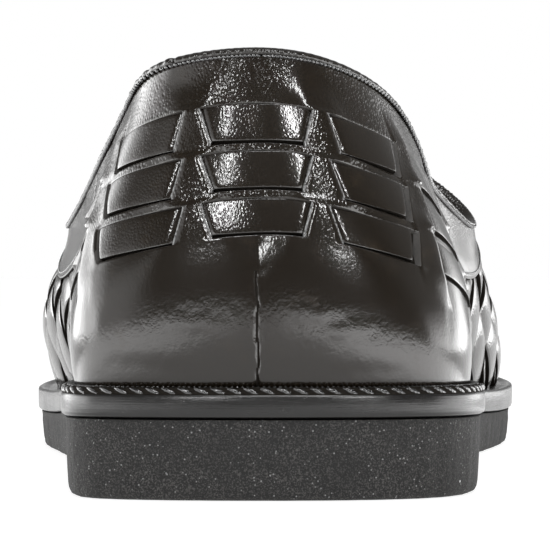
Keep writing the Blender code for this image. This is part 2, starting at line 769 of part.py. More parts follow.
def make_sole():
    low = CREPE_INSET + CREPE_TAPER
    band_solid("crepe_outsole", "crepe_rubber", (
        (CREPE_INSET, crepe_top),
        (CREPE_INSET + 0.5 * CREPE_TAPER, half_way),
        (low, lambda y: tread(y) + TREAD_ROUND),
        (low + 0.3 * TREAD_ROUND, lambda y: tread(y) + 0.3 * TREAD_ROUND),
        (low + TREAD_ROUND, tread),
    ), OUTLINE_COUNT)
    band_solid("midsole_welt", "smooth_rubber", (
        (WELT_BEVEL, welt_top),
        (0.0, lambda y: welt_top(y) - WELT_BEVEL),
        (0.0, lambda y: crepe_top(y) + CLEARANCE + LOWER_BEVEL),
        (WELT_TAPER, lambda y: crepe_top(y) + CLEARANCE),
    ), OUTLINE_COUNT)
    band_solid("insole", "lining_leather", (
        (INSOLE_INSET, lambda y: welt_top(y) + CLEARANCE + INSOLE_THICKNESS),
        (INSOLE_INSET, lambda y: welt_top(y) + CLEARANCE),
    ), INSOLE_COUNT)


def centre_plan():
    """Puts the middle of the shoe's plan over the origin."""
    corners = np.array([v.co for obj in bpy.context.scene.objects for v in obj.data.vertices])
    centre = 0.5 * (corners.min(axis=0) + corners.max(axis=0))
    for obj in bpy.context.scene.objects:
        for vertex in obj.data.vertices:
            vertex.co -= Vector((centre[0], centre[1], 0.0))


def main():
    for old in list(bpy.data.objects):
        bpy.data.objects.remove(old)
    surface = UpperSurface()
    top_stops = make_top_stops(surface)
    make_upper(surface, top_stops)
    make_binding(surface, top_stops)
    make_sole()
    centre_plan()


main()
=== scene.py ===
"""Looks of a left woven leather loafer on a crepe wedge sole.

The leather is made as a maker makes it: each piece starts flat and is drawn over the last. A place
on the flat pattern is (distance round from the back seam, height), and a level is how far a surface
stands off the outside of plain leather. Sizes are in millimetres until a mesh takes its place.
"""
from __future__ import annotations

import logging
from collections.abc import Callable, Iterable, Iterator, Sequence
from dataclasses import dataclass
from enum import Enum
from math import cos, pi, radians, sin
from typing import Any, NamedTuple

import bpy
import numpy as np
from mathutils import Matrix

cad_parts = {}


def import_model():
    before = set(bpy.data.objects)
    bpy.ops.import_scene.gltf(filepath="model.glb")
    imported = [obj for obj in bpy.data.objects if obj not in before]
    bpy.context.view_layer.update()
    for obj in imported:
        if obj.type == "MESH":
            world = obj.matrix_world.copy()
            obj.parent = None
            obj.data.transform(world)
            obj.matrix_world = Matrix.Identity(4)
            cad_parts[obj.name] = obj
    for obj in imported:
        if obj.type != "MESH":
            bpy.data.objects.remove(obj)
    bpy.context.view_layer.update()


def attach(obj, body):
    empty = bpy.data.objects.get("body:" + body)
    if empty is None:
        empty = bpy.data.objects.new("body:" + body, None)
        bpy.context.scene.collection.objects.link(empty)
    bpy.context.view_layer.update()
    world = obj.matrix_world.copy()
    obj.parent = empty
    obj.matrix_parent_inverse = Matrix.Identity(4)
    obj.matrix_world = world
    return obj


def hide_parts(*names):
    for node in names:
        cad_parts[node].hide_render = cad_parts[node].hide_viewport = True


MM = 0.001
BODY = "root"
Array = np.ndarray
Object = bpy.types.Object
Triple = tuple[float, float, float]
# Gives distance round, height and level for shares along and across a sheet
Pattern = Callable[[Array, Array], tuple[Array, Array, Array | float]]
# Gives the height of a layer of the sole at distances along it
Height = Callable[[Array], Array]

log = logging.getLogger("loafer")


# ---------------- the last

class Section(NamedTuple):
    """One section of the shoe: where the welt, the foot of the upper and the topline lie.

    Widths are in percent of the ball width, lengths of the length and heights of the back height.
    The rest is in millimetres, apart from pull, which is in percent of the way back to the foot.
    """

    name: str
    welt_across: float
    welt_along: float
    shelf: float
    top_across: float
    top_along: float
    top_height: float
    bulge: float
    rise: float
    pull: float
    drop: float


SECTIONS = (
    Section("back", -0.9, 0.0, 2.8, -2.8, 2.2, 100.0, 2.6, 20, 15, 22),
    Section("outer heel corner", -28.2, 1.8, 2.8, -18.2, 4.2, 97.2, 3.4, 20, 25, 21),
    Section("outer heel", -35.3, 9.2, 3.0, -24.2, 11.1, 90.2, 5.2, 19, 38, 19),
    Section("outer quarter", -36.4, 23.0, 3.2, -29.7, 20.8, 80.2, 5.2, 17, 40, 17),
    Section("outer waist", -38.7, 36.2, 3.6, -34.7, 32.2, 71.9, 6.2, 15, 45, 15),
    Section("outer flank", -44.8, 52.0, 4.2, -40.3, 46.6, 64.4, 8.6, 19, 50, 13),
    Section("outer joint", -49.7, 63.8, 4.2, -37.6, 51.3, 69.2, 8.6, 21, 52, 14),
    Section("outer toe", -47.7, 77.0, 4.2, -26.2, 53.4, 80.3, 6.2, 22, 55, 17),
    Section("outer toe corner", -31.8, 92.0, 4.2, -12.6, 54.2, 89.7, 4.6, 25, 58, 21),
    Section("toe", 3.0, 100.0, 4.2, 0.6, 54.4, 92.6, 4.2, 26, 60, 22),
    Section("inner toe corner", 35.0, 92.8, 4.2, 13.8, 54.2, 89.7, 4.4, 25, 58, 21),
    Section("inner toe", 48.9, 79.8, 3.8, 27.0, 53.4, 80.3, 4.2, 19, 55, 17),
    Section("inner joint", 50.5, 67.6, 3.5, 37.2, 51.4, 69.2, 3.0, 13, 52, 14),
    Section("inner flank", 43.2, 53.0, 3.8, 38.2, 47.0, 64.4, 2.6, 13, 50, 13),
    Section("inner waist", 33.9, 37.6, 3.4, 30.6, 34.4, 71.3, 3.2, 14, 45, 15),
    Section("inner quarter", 33.2, 25.0, 3.0, 26.6, 24.0, 76.4, 3.4, 16, 42, 17),
    Section("inner heel", 34.9, 10.6, 3.0, 20.6, 11.7, 88.6, 3.4, 19, 38, 19),
    Section("inner heel corner", 24.8, 2.2, 2.8, 10.6, 4.4, 96.9, 3.0, 20, 25, 21),
)


class Station(NamedTuple):
    """Heights of the sole's layers at one distance from the back."""

    along: float
    crepe_top: float
    welt_top: float


STATIONS = (
    Station(0.0, 13.9, 17.8),
    Station(62.0, 13.1, 17.1),
    Station(105.0, 11.5, 15.8),
    Station(150.0, 9.0, 13.4),
    Station(190.0, 8.1, 12.9),
    Station(220.0, 8.4, 13.4),
    Station(258.0, 10.6, 15.2),
    Station(298.0, 15.6, 20.2),
)


class ClosedSpline:
    """Smooth closed curve through rows of numbers, with even knots."""

    def __init__(self, rows: Sequence[Sequence[float]]) -> None:
        """Solves for the curve's bends.

        Args:
            rows: the numbers at each knot.
        """
        self.rows = np.array(rows, float)
        count = len(self.rows)
        system = 4.0 * np.eye(count) + np.roll(np.eye(count), 1, 0) + np.roll(np.eye(count), -1, 0)
        jumps = np.roll(self.rows, -1, 0) - 2 * self.rows + np.roll(self.rows, 1, 0)
        self.bends = np.linalg.solve(system, 6.0 * jumps)

    def __call__(self, turns: Array) -> Array:
        """Reads the curve.

        Args:
            turns: places on the curve, where 1 is once round.

        Returns:
            A row of numbers for each turn.
        """
        place = (np.asarray(turns, float) % 1.0) * len(self.rows)
        first = np.floor(place).astype(int) % len(self.rows)
        second = (first + 1) % len(self.rows)
        b = (place - np.floor(place))[..., None]
        a = 1.0 - b
        bend = (a ** 3 - a) * self.bends[first] + (b ** 3 - b) * self.bends[second]
        return a * self.rows[first] + b * self.rows[second] + bend / 6.0


class OpenSpline:
    """Natural cubic through (x, y) knots, for heights along the shoe."""

    def __init__(self, xs: Sequence[float], ys: Sequence[float]) -> None:
        """Solves for the curve's bends.

        Args:
            xs: places of the knots.
            ys: heights of the knots.
        """
        self.xs, self.ys = np.array(xs, float), np.array(ys, float)
        count, gaps = len(self.xs), np.diff(self.xs)
        system, right = np.eye(count), np.zeros(count)
        for i in range(1, count - 1):
            system[i, i - 1:i + 2] = gaps[i - 1], 2 * (gaps[i - 1] + gaps[i]), gaps[i]
            slopes = np.diff(self.ys[i - 1:i + 2]) / gaps[i - 1:i + 1]
            right[i] = 6 * (slopes[1] - slopes[0])
        self.bends = np.linalg.solve(system, right)

    def __call__(self, x: Array) -> Array:
        """Reads the curve, which is held level past its ends.

        Args:
            x: places along it.

        Returns:
            The height at each.
        """
        x = np.clip(np.asarray(x, float), self.xs[0], self.xs[-1])
        i = np.clip(np.searchsorted(self.xs, x, side="right") - 1, 0, len(self.xs) - 2)
        gap = self.xs[i + 1] - self.xs[i]
        b = (x - self.xs[i]) / gap
        a = 1.0 - b
        bend = (a ** 3 - a) * self.bends[i] + (b ** 3 - b) * self.bends[i + 1]
        return a * self.ys[i] + b * self.ys[i + 1] + bend * gap * gap / 6.0


def ease(x: Array) -> Array:
    """Eases from 0 to 1."""
    x = np.clip(x, 0.0, 1.0)
    return x * x * (3 - 2 * x)


def unit(vectors: Array) -> Array:
    """Scales vectors to length 1."""
    return vectors / np.maximum(np.linalg.norm(vectors, axis=-1, keepdims=True), 1e-9)


def lengths(points: Array) -> Array:
    """Distance from the first point of a run to each, measured along the run."""
    steps = np.linalg.norm(np.diff(points, axis=-2), axis=-1)
    return np.concatenate([np.zeros((*steps.shape[:-1], 1)), np.cumsum(steps, axis=-1)], axis=-1)


@dataclass
class Last:
    """The last and the sole's outline: every piece takes its place from here.

    The sheet has an even height. Up to band_level it is the leather below the throat band, and the
    rest is the band. turns and rows are the faces of the grid round and up.
    """

    length: float = 298.0
    ball_width: float = 106.0
    back_height: float = 76.5
    wall: float = 2.4
    clearance: float = 0.35
    band_width: float = 13.0
    binding_rise: float = 1.3
    sheet_height: float = 60.0
    quarter_front: float = 104.0
    band_level: float = 0.7
    turns: int = 1440
    rows: int = 128
    curve_points: int = 65
    outline_points: int = 1801
    fine_points: int = 7201
    run_on: float = 0.02
    probe_up: float = 0.6
    probe_round: float = 0.8

    def __post_init__(self) -> None:
        """Works out the surface as a grid of points, by turn and share of the girth."""
        ball, length, back = self.ball_width / 100, self.length / 100, self.back_height / 100
        self.welt_line = ClosedSpline(
            [(s.welt_across * ball, s.welt_along * length, s.shelf) for s in SECTIONS])
        self.top_line = ClosedSpline(
            [(s.top_across * ball, s.top_along * length, s.top_height * back,
              s.bulge, s.rise, s.pull / 100, s.drop) for s in SECTIONS])
        self.crepe_top = OpenSpline([s.along for s in STATIONS], [s.crepe_top for s in STATIONS])
        self.welt_top = OpenSpline([s.along for s in STATIONS], [s.welt_top for s in STATIONS])
        curves = self.section_curves(np.arange(self.turns) / self.turns)
        girths = lengths(curves)
        self.girths = girths[:, -1] - self.binding_rise
        shares = np.linspace(0.0, 1.0, self.rows + 1)
        self.grid = np.array([[np.interp(shares * whole, girth, curve[:, k]) for k in range(3)]
                              for whole, girth, curve in zip(self.girths, girths, curves)])
        self.grid = self.grid.transpose(0, 2, 1)
        feet = self.grid[:, 0, :2]
        self.round = lengths(np.append(feet, feet[:1], axis=0))
        self.end = float(self.round[-1])
        outline, _ = self.outline(np.linspace(0.0, 1.0, self.outline_points))
        self.middle = np.append(0.5 * (outline.min(axis=0) + outline.max(axis=0)), 0.0)
        self.band_line = self.band_level * self.sheet_height

    def outline(self, turns: Array, inset: Array | float = 0.0) -> tuple[Array, Array]:
        """Reads the welt's outline.

        Args:
            turns: places round the outline.
            inset: how far inside the outline, in millimetres.

        Returns:
            The plan points and the outward directions.
        """
        turns = np.asarray(turns, float)
        ahead, behind = self.welt_line(turns + 0.001), self.welt_line(turns - 0.001)
        along = unit(ahead[..., :2] - behind[..., :2])
        outward = np.stack([-along[..., 1], along[..., 0]], axis=-1)
        inset = np.asarray(inset, float)[..., None] if np.ndim(inset) else inset
        return self.welt_line(turns)[..., :2] - inset * outward, outward

    def measured(self, inset: float = 0.0) -> tuple[Array, Array]:
        """Measures the welt's outline.

        Args:
            inset: how far inside the outline, in millimetres.

        Returns:
            Turns in small steps, and the distance round from the back at each.
        """
        turns = np.linspace(0.0, 1.0, self.fine_points)
        return turns, lengths(self.outline(turns, inset)[0])

    def section_curves(self, turns: Array) -> Array:
        """Draws the section's curve at each turn.

        Args:
            turns: places round the outline.

        Returns:
            A row of points for each turn, from the foot of the upper to the topline.
        """
        shelf = self.welt_line(turns)[..., 2]
        foot_plan, outward = self.outline(turns, shelf)
        top = self.top_line(turns)
        bulge, rise, pull, drop = (top[:, k, None] for k in range(3, 7))
        foot = np.column_stack([foot_plan, self.welt_top(foot_plan[:, 1]) + self.clearance])
        low = foot + np.column_stack([outward * bulge, rise])
        crown = top[:, :3]
        high = crown + np.column_stack([pull * (foot - crown)[:, :2], -drop])
        t = np.linspace(0.0, 1.0, self.curve_points)[None, :, None]
        foot, low, high, crown = (p[:, None, :] for p in (foot, low, high, crown))
        return ((1 - t) ** 3 * foot + 3 * (1 - t) ** 2 * t * low
                + 3 * (1 - t) * t * t * high + t ** 3 * crown)

    def turn_at(self, u: Array) -> Array:
        """Turn that lies this far round the foot of the upper from the back seam."""
        return np.interp(np.mod(u, self.end), self.round, np.arange(self.turns + 1)) / self.turns

    def girth_at(self, turns: Array) -> Array:
        """Length of leather from foot to cut edge."""
        girths = np.append(self.girths, self.girths[0])
        return np.interp(turns * self.turns, np.arange(self.turns + 1), girths)

    def at(self, turns: Array, share: Array) -> Array:
        """Reads the grid.

        Args:
            turns: places round the outline.
            share: shares of the girth, from the foot up.

        Returns:
            A point for each place.
        """
        place = (turns % 1.0) * self.turns
        i = np.floor(place).astype(int) % self.turns
        j = (i + 1) % self.turns
        b = (place - np.floor(place))[..., None]
        height = np.clip(share, 0.0, 1.0) * self.rows
        row = np.minimum(height.astype(int), self.rows - 1)
        c = (height - row)[..., None]
        low = (1 - b) * self.grid[i, row] + b * self.grid[j, row]
        high = (1 - b) * self.grid[i, row + 1] + b * self.grid[j, row + 1]
        return (1 - c) * low + c * high

    def surface(self, u: Array, v: Array) -> Array:
        """Reads plain leather, which runs on straight past its upper and lower edges.

        Args:
            u: distances round from the back seam.
            v: heights on the sheet.

        Returns:
            A point for each place.
        """
        turns = self.turn_at(u)
        level = np.asarray(v, float) / self.sheet_height
        band = self.band_width / self.girth_at(turns)
        share = np.where(level <= self.band_level, level / self.band_level * (1 - band),
                         1 - band * (1 - level) / (1 - self.band_level))
        inside = np.clip(share, 0.0, 1.0)
        base = np.where(share < 0, 0.0, 1 - self.run_on)
        slope = (self.at(turns, base + self.run_on) - self.at(turns, base)) / self.run_on
        return self.at(turns, inside) + slope * (share - inside)[..., None]

    def frames(self, u: Array, v: Array) -> tuple[Array, Array, Array, Array]:
        """Reads the surface with its directions.

        Args:
            u: distances round from the back seam.
            v: heights on the sheet.

        Returns:
            Points, outward normals, and directions up the leather and round the shoe.
        """
        up = unit(self.surface(u, v + self.probe_up) - self.surface(u, v - self.probe_up))
        along = unit(self.surface(u + self.probe_round, v) - self.surface(u - self.probe_round, v))
        return self.surface(u, v), unit(np.cross(up, along)), up, along

    def placed(self, points: Array) -> Array:
        """Places points of the last in the model, in metres."""
        return (points - self.middle) * MM

    def below_top(self, u: Array, distance: Array | float) -> Array:
        """Finds the place this far below the topline.

        Args:
            u: distances round from the back seam.
            distance: distances below the topline, in millimetres.

        Returns:
            Heights on the sheet.
        """
        girth = self.girth_at(self.turn_at(u))
        below = np.asarray(distance, float) - self.binding_rise
        near = 1 - (1 - self.band_level) * below / self.band_width
        far = (1 - below / girth) * self.band_level / (1 - self.band_width / girth)
        return np.where(below < self.band_width, near, far) * self.sheet_height


# ---------------- working with meshes

class Side(Enum):
    """Which way round from the back seam."""

    OUTER = 1
    INNER = -1


def lone(obj: Object) -> None:
    """Makes an object the only one selected, and active.

    Args:
        obj: the object.
    """
    bpy.ops.object.select_all(action="DESELECT")
    obj.select_set(True)
    bpy.context.view_layer.objects.active = obj


def edit(obj: Object, operator: Callable[..., Any], **settings: Any) -> None:
    """Runs an operator on the whole of a mesh in edit mode.

    Args:
        obj: the mesh's object.
        operator: one of bpy.ops.mesh.
        settings: the operator's settings.
    """
    lone(obj)
    bpy.ops.object.mode_set(mode="EDIT")
    bpy.ops.mesh.select_all(action="SELECT")
    operator(**settings)
    bpy.ops.object.mode_set(mode="OBJECT")


def read(items: Any, name: str) -> Array:
    """Reads a vector of each corner or face of a mesh.

    Args:
        items: the mesh's corners or faces.
        name: which of their vectors.

    Returns:
        A row of three numbers for each.
    """
    values = np.empty(len(items) * 3)
    items.foreach_get(name, values)
    return values.reshape(-1, 3)


def flat_sheet(name: str, columns: int, rows: int) -> tuple[Object, Array, Array]:
    """Cuts a flat sheet.

    Args:
        name: the piece's name.
        columns: faces along it.
        rows: faces across it.

    Returns:
        The sheet, and the column and the row of each corner, counted from 0.
    """
    bpy.ops.object.select_all(action="DESELECT")
    bpy.ops.mesh.primitive_grid_add(x_subdivisions=columns, y_subdivisions=rows, size=1.0,
                                    calc_uvs=True)
    sheet = bpy.context.object
    sheet.name = sheet.data.name = name
    x, y, _ = corners(sheet).T
    return (sheet, np.round((x + 0.5) * columns).astype(int),
            np.round((y + 0.5) * rows).astype(int))


def corners(obj: Object) -> Array:
    """Corners of a mesh, one row each."""
    return read(obj.data.vertices, "co")


def put_corners(obj: Object, places: Array) -> None:
    """Moves the corners of a mesh."""
    obj.data.vertices.foreach_set("co", np.ascontiguousarray(places, dtype=np.float32).ravel())
    obj.data.update()


def weld(obj: Object, distance: float = 1e-6) -> None:
    """Closes the seams of a sheet whose edges meet."""
    edit(obj, bpy.ops.mesh.remove_doubles, threshold=distance)


def face_out(obj: Object, outward: Array) -> None:
    """Turns a mesh's faces over if its corners' normals disagree with the directions given."""
    if np.sum(read(obj.data.vertices, "normal") * outward) < 0:
        edit(obj, bpy.ops.mesh.flip_normals)


def use_second(obj: Object, chosen: Array) -> None:
    """Gives the second finish of a piece to the faces chosen, and the first to the rest."""
    obj.data.polygons.foreach_set("material_index", chosen.astype(int))


def modify(obj: Object, kind: str, **settings: Any) -> None:
    """Adds a modifier and applies it.

    Args:
        obj: the object.
        kind: the modifier's type.
        settings: the modifier's settings.
    """
    lone(obj)
    modifier = obj.modifiers.new(kind.title(), kind)
    for name, value in settings.items():
        setattr(modifier, name, value)
    bpy.ops.object.modifier_apply(modifier=modifier.name)


def thicken(obj: Object, thickness: float, bevel: float = 0.0, segments: int = 2) -> None:
    """Gives a sheet its thickness, inwards, and softens its cut edges.

    The cut edges take the sheet's second finish, if it is given one.

    Args:
        obj: the sheet.
        thickness: in millimetres.
        bevel: width of the softened edge in millimetres, or 0 for none.
        segments: faces across the softened edge.
    """
    modify(obj, "SOLIDIFY", thickness=thickness * MM, offset=-1.0, use_even_offset=False,
           use_quality_normals=True, material_offset_rim=1)
    if bevel:
        modify(obj, "BEVEL", width=bevel * MM, segments=segments, limit_method="ANGLE",
               angle_limit=radians(50), use_clamp_overlap=True)


def joined(name: str, pieces: Sequence[Object]) -> Object:
    """Joins pieces into one mesh.

    Args:
        name: the name of the joined piece.
        pieces: the pieces, two or more, which are used up.

    Returns:
        The joined piece.
    """
    lone(pieces[0])
    for piece in pieces:
        piece.select_set(True)
    bpy.ops.object.join()
    pieces[0].name = pieces[0].data.name = name
    return pieces[0]


def copies(name: str, model: Object, frames: Iterable[tuple[Array, Array]]) -> Object:
    """Lays copies of a small model and joins them.

    Args:
        name: the name of the joined piece.
        model: the small mesh, made at the origin in metres. It is used up.
        frames: a 3x3 matrix of axes in columns and a place in metres, for each copy.

    Returns:
        The joined piece.
    """
    base = corners(model)
    made = []
    for axes, place in frames:
        copy = model.copy()
        copy.data = model.data.copy()
        bpy.context.collection.objects.link(copy)
        put_corners(copy, base @ np.asarray(axes).T + place)
        made.append(copy)
    bpy.data.objects.remove(model)
    return joined(name, made)


def smooth_shade(obj: Object, angle: float = 180.0) -> None:
    """Shades a piece smooth.

    Args:
        obj: the piece.
        angle: the widest angle that is smoothed, in degrees.
    """
    lone(obj)
    if angle >= 180.0:
        bpy.ops.object.shade_smooth()
    else:
        bpy.ops.object.shade_smooth_by_angle(angle=radians(angle))


# ---------------- finishes

class Signal:
    """A value that flows through a material and takes part in sums."""

    def __init__(self, finish: "Recipe", socket: bpy.types.NodeSocket) -> None:
        """Wraps the socket of a node.

        Args:
            finish: the recipe that the node belongs to.
            socket: the node's output.
        """
        self.finish = finish
        self.socket = socket

    def _with(self, operation: str, first: Any, second: Any) -> "Signal":
        """Adds a Math node on two values."""
        return self.finish.node("ShaderNodeMath", {"operation": operation}, {0: first, 1: second})

    def __add__(self, other: Any) -> "Signal":
        """Adds."""
        return self._with("ADD", self, other)

    def __radd__(self, other: Any) -> "Signal":
        """Adds, reflected."""
        return self._with("ADD", other, self)

    def __rsub__(self, other: Any) -> "Signal":
        """Takes away, reflected."""
        return self._with("SUBTRACT", other, self)

    def __mul__(self, other: Any) -> "Signal":
        """Multiplies."""
        return self._with("MULTIPLY", self, other)

    def __rmul__(self, other: Any) -> "Signal":
        """Multiplies, reflected."""
        return self._with("MULTIPLY", other, self)

    def between(self, low: float, high: float) -> "Signal":
        """Runs from 0 at low to 1 at high, smoothly."""
        return self.finish.node("ShaderNodeMapRange", {"interpolation_type": "SMOOTHSTEP"},
                                {"Value": self, "From Min": low, "From Max": high})


class Recipe:
    """The nodes of one material, or of the surroundings."""

    def __init__(self, name: str, surroundings: bool = False) -> None:
        """Starts a material.

        Args:
            name: the material's name.
            surroundings: whether it is the world's instead.
        """
        self.material = (bpy.data.worlds if surroundings else bpy.data.materials).new(name)
        self.material.use_nodes = True
        self.tree = self.material.node_tree
        self.shader = self.tree.nodes["Background" if surroundings else "Principled BSDF"]

    def node(self, kind: str, settings: dict[str, Any], values: dict[Any, Any],
             output: int | str = 0) -> Signal:
        """Adds a node.

        Args:
            kind: the node's type.
            settings: its own settings, set before its sockets.
            values: a value or Signal for each input socket, by name or number.
            output: the output wanted.

        Returns:
            The output as a Signal.
        """
        node = self.tree.nodes.new(kind)
        for name, value in settings.items():
            setattr(node, name, value)
        for key, value in values.items():
            self.feed(node.inputs[key], value)
        return Signal(self, node.outputs[output])

    def feed(self, socket: bpy.types.NodeSocket, value: Any) -> None:
        """Sets a socket, or links a Signal to it.

        Args:
            socket: a node's input.
            value: a value or a Signal.
        """
        if isinstance(value, Signal):
            self.tree.links.new(value.socket, socket)
        else:
            socket.default_value = value

    def set(self, **values: Any) -> None:
        """Feeds the shader's sockets; an underscore stands for a space."""
        for name, value in values.items():
            self.feed(self.shader.inputs[name.replace("_", " ")], value)

    def place(self, scale: Triple = (1.0, 1.0, 1.0), turn: Triple = (0.0, 0.0, 0.0)) -> Signal:
        """Reads Object coordinates in millimetres.

        Args:
            scale: how far a pattern is squeezed along each axis.
            turn: how far it is turned about each axis, in radians.

        Returns:
            The coordinates.
        """
        return self.node("ShaderNodeMapping", {}, {
            "Vector": self.node("ShaderNodeTexCoord", {}, {}, "Object"), "Rotation": turn,
            "Scale": tuple(s / MM for s in scale)})

    def axis(self, vector: Signal, number: int) -> Signal:
        """One number of a vector: 0, 1 or 2 for x, y or z."""
        return self.node("ShaderNodeSeparateXYZ", {}, {0: vector}, number)

    def vectors(self, operation: str, values: dict[Any, Any], output: int | str = 0) -> Signal:
        """Works on vectors."""
        return self.node("ShaderNodeVectorMath", {"operation": operation}, values, output)

    def noise(self, place: Signal, size: float, detail: float = 3.0, rough: float = 0.5,
              warp: float = 0.0, output: int | str = 0) -> Signal:
        """Makes soft noise.

        Args:
            place: where it is read.
            size: size of its features in millimetres.
            detail: how many finer layers it has.
            rough: how strong they are.
            warp: how far it is bent.
            output: 0 for one value, or "Color" for three.

        Returns:
            The noise.
        """
        return self.node("ShaderNodeTexNoise", {}, {
            "Vector": place, "Scale": 1.0 / size, "Detail": detail, "Roughness": rough,
            "Distortion": warp}, output)

    def pebbles(self, place: Signal, size: float) -> Signal:
        """Distance from the centres of cells of this size in millimetres."""
        return self.node("ShaderNodeTexVoronoi", {"feature": "F1"}, {
            "Vector": place, "Scale": 1.0 / size}, "Distance")

    def mix(self, mask: Signal, first: tuple[float, ...] | Signal,
            second: tuple[float, ...] | Signal) -> Signal:
        """Blends two colours.

        Args:
            mask: 0 for the first colour, 1 for the second.
            first: a colour.
            second: another.

        Returns:
            The blend.
        """
        return self.node("ShaderNodeMix", {"data_type": "RGBA"}, {
            "Factor": mask, 6: first, 7: second}, 2)

    def bump(self, height: Signal, depth: float, after: Signal | None = None) -> Signal:
        """Adds relief.

        Args:
            height: how high it is, from 0 to 1.
            depth: its depth in millimetres.
            after: an earlier relief that it lies on.

        Returns:
            The normal.
        """
        values = {"Height": height, "Distance": depth * MM, "Strength": 1.0}
        if after is not None:
            values["Normal"] = after
        return self.node("ShaderNodeBump", {}, values)


def grey(value: float, warm: float = 0.0) -> tuple[float, float, float, float]:
    """A grey, warmed towards brown."""
    return (value * (1 + warm), value, value * (1 - warm), 1.0)


@dataclass(frozen=True)
class Leather:
    """Polished black leather: pebbled grain, fine wrinkles and a sheen that wear dulls.

    The attribute "cut" is 1 at raw cut edges and below 0 along the tabs' own edges, where a highlight
    is painted pale and the grain is deepened. The grain grows from nothing to full between the heights
    of grain_foot, and depths are in millimetres.
    """

    name: str
    tone: float = 0.005
    warm: float = 0.42
    roughness: float = 0.11
    grain: float = 0.5
    grain_depth: float = 0.05
    wrinkle_depth: float = 0.02
    grain_foot: tuple[float, float] = (0.0, 1.0)
    wear: float = 0.08
    sheen: float = 0.15
    sheen_roughness: float = 0.36
    cut_tone: float = 0.009

    def material(self) -> bpy.types.Material:
        """Makes the material.

        Returns:
            The material.
        """
        r = Recipe(self.name)
        place = r.place()
        drawn = r.place((1.0, 1.0, 0.78), (0.25, 0.15, 0.0))
        patches = r.noise(place, 9.0, 3.0, 0.55)
        wander = r.vectors("SCALE", {
            0: r.noise(place, 1.2, 2.0, 0.5, output="Color"), "Scale": 0.35})
        cells = r.pebbles(r.vectors("ADD", {0: drawn, 1: wander}), self.grain)
        fine = r.noise(drawn, 0.22, 2.0, 0.6)
        wrinkles = r.noise(r.place((1.0, 1.0, 0.7), (0.5, -0.4, 0.0)), 1.1, 3.0, 0.55, 0.6)
        pores = cells.between(0.0, 0.7)
        grained = patches.between(0.28, 0.50) * r.axis(place, 2).between(*self.grain_foot)
        edges = r.node("ShaderNodeAttribute", {"attribute_name": "cut"}, {}, "Fac")
        cut, wear_and_painted_highlight = edges.between(0.86, 0.94), edges.between(-0.2, -0.8)
        relief = r.bump(pores * (0.12 + 0.88 * grained + 2.0 * wear_and_painted_highlight), self.grain_depth)
        relief = r.bump(fine, 0.25 * self.grain_depth, relief)
        relief = r.bump(wrinkles, self.wrinkle_depth, relief)
        wear = r.noise(place, 5.0, 5.0, 0.65).between(0.55, 0.8)
        tone_with_wear_and_highlight = r.mix(wear, grey(self.tone, self.warm), grey(1.9 * self.tone, self.warm))
        # painted highlight: the tabs' edges are painted pale grey over the pores, standing in for the
        # bright reflection along them
        tone_with_wear_and_highlight = r.mix(wear_and_painted_highlight * pores, tone_with_wear_and_highlight, grey(36.0 * self.tone))
        fibre = r.noise(place, 0.4, 4.0, 0.7)
        raw = r.mix(fibre.between(0.35, 0.65), grey(self.cut_tone, 0.2),
                    grey(2.2 * self.cut_tone, 0.16))
        r.set(Base_Color=r.mix(cut, tone_with_wear_and_highlight, raw),
              Roughness=self.roughness + self.wear * wear + 0.04 * fine + 0.45 * cut,
              Coat_Weight=self.sheen * (1 - cut) * (1 - 0.3 * wear),
              Coat_Roughness=self.sheen_roughness, Normal=relief)
        return r.material


@dataclass(frozen=True)
class CutEdgeAndShade:
    """The cut edge of leather: dyed, with fibres showing. Its dull, nearly unreflecting black is also
    put on recesses, undersides and the heel rand as painted shade.
    """

    name: str
    tone: float = 0.005

    def material(self) -> bpy.types.Material:
        """Makes the material.

        Returns:
            The material.
        """
        r = Recipe(self.name)
        fibre = r.noise(r.place((0.6, 0.6, 2.0)), 0.5, 5.0, 0.7)
        r.set(Base_Color=r.mix(fibre.between(0.3, 0.7), grey(self.tone, 0.2),
                               grey(2.4 * self.tone, 0.16)),
              Roughness=0.6 + 0.2 * fibre, Normal=r.bump(fibre, 0.06), Specular_IOR_Level=0.03)
        return r.material


@dataclass(frozen=True)
class Lining:
    """Matt lining leather with a fine nap and paler, smoother patches of wear."""

    name: str
    tone: float = 0.03
    warm: float = 0.1

    def material(self) -> bpy.types.Material:
        """Makes the material.

        Returns:
            The material.
        """
        r = Recipe(self.name)
        place = r.place()
        nap = r.noise(place, 0.35, 5.0, 0.65)
        wear_and_painted_highlight = r.noise(place, 14.0, 3.0).between(0.4, 0.7)
        r.set(Base_Color=r.mix(wear_and_painted_highlight, grey(self.tone, self.warm), grey(1.6 * self.tone, self.warm)),
              Roughness=0.72 - 0.16 * wear_and_painted_highlight, Normal=r.bump(nap, 0.06))
        return r.material


@dataclass(frozen=True)
class BrushedRubber:
    """Dark satin rubber, buffed along the edge of the sole."""

    name: str
    tone: float = 0.006

    def material(self) -> bpy.types.Material:
        """Makes the material.

        Returns:
            The material.
        """
        r = Recipe(self.name)
        streaks = r.noise(r.place((0.06, 0.06, 2.6)), 0.8, 4.0, 0.65)
        dust = r.noise(r.place(), 0.5, 3.0).between(0.68, 0.8)
        cloud = r.noise(r.place(), 11.0, 3.0).between(0.35, 0.7)
        rubber = r.mix(cloud, grey(self.tone, 0.05), grey(1.5 * self.tone, 0.05))
        r.set(Base_Color=r.mix(dust * 0.5, rubber, grey(0.12)),
              Roughness=0.15 + 0.13 * streaks + 0.05 * cloud, Normal=r.bump(streaks, 0.04))
        return r.material


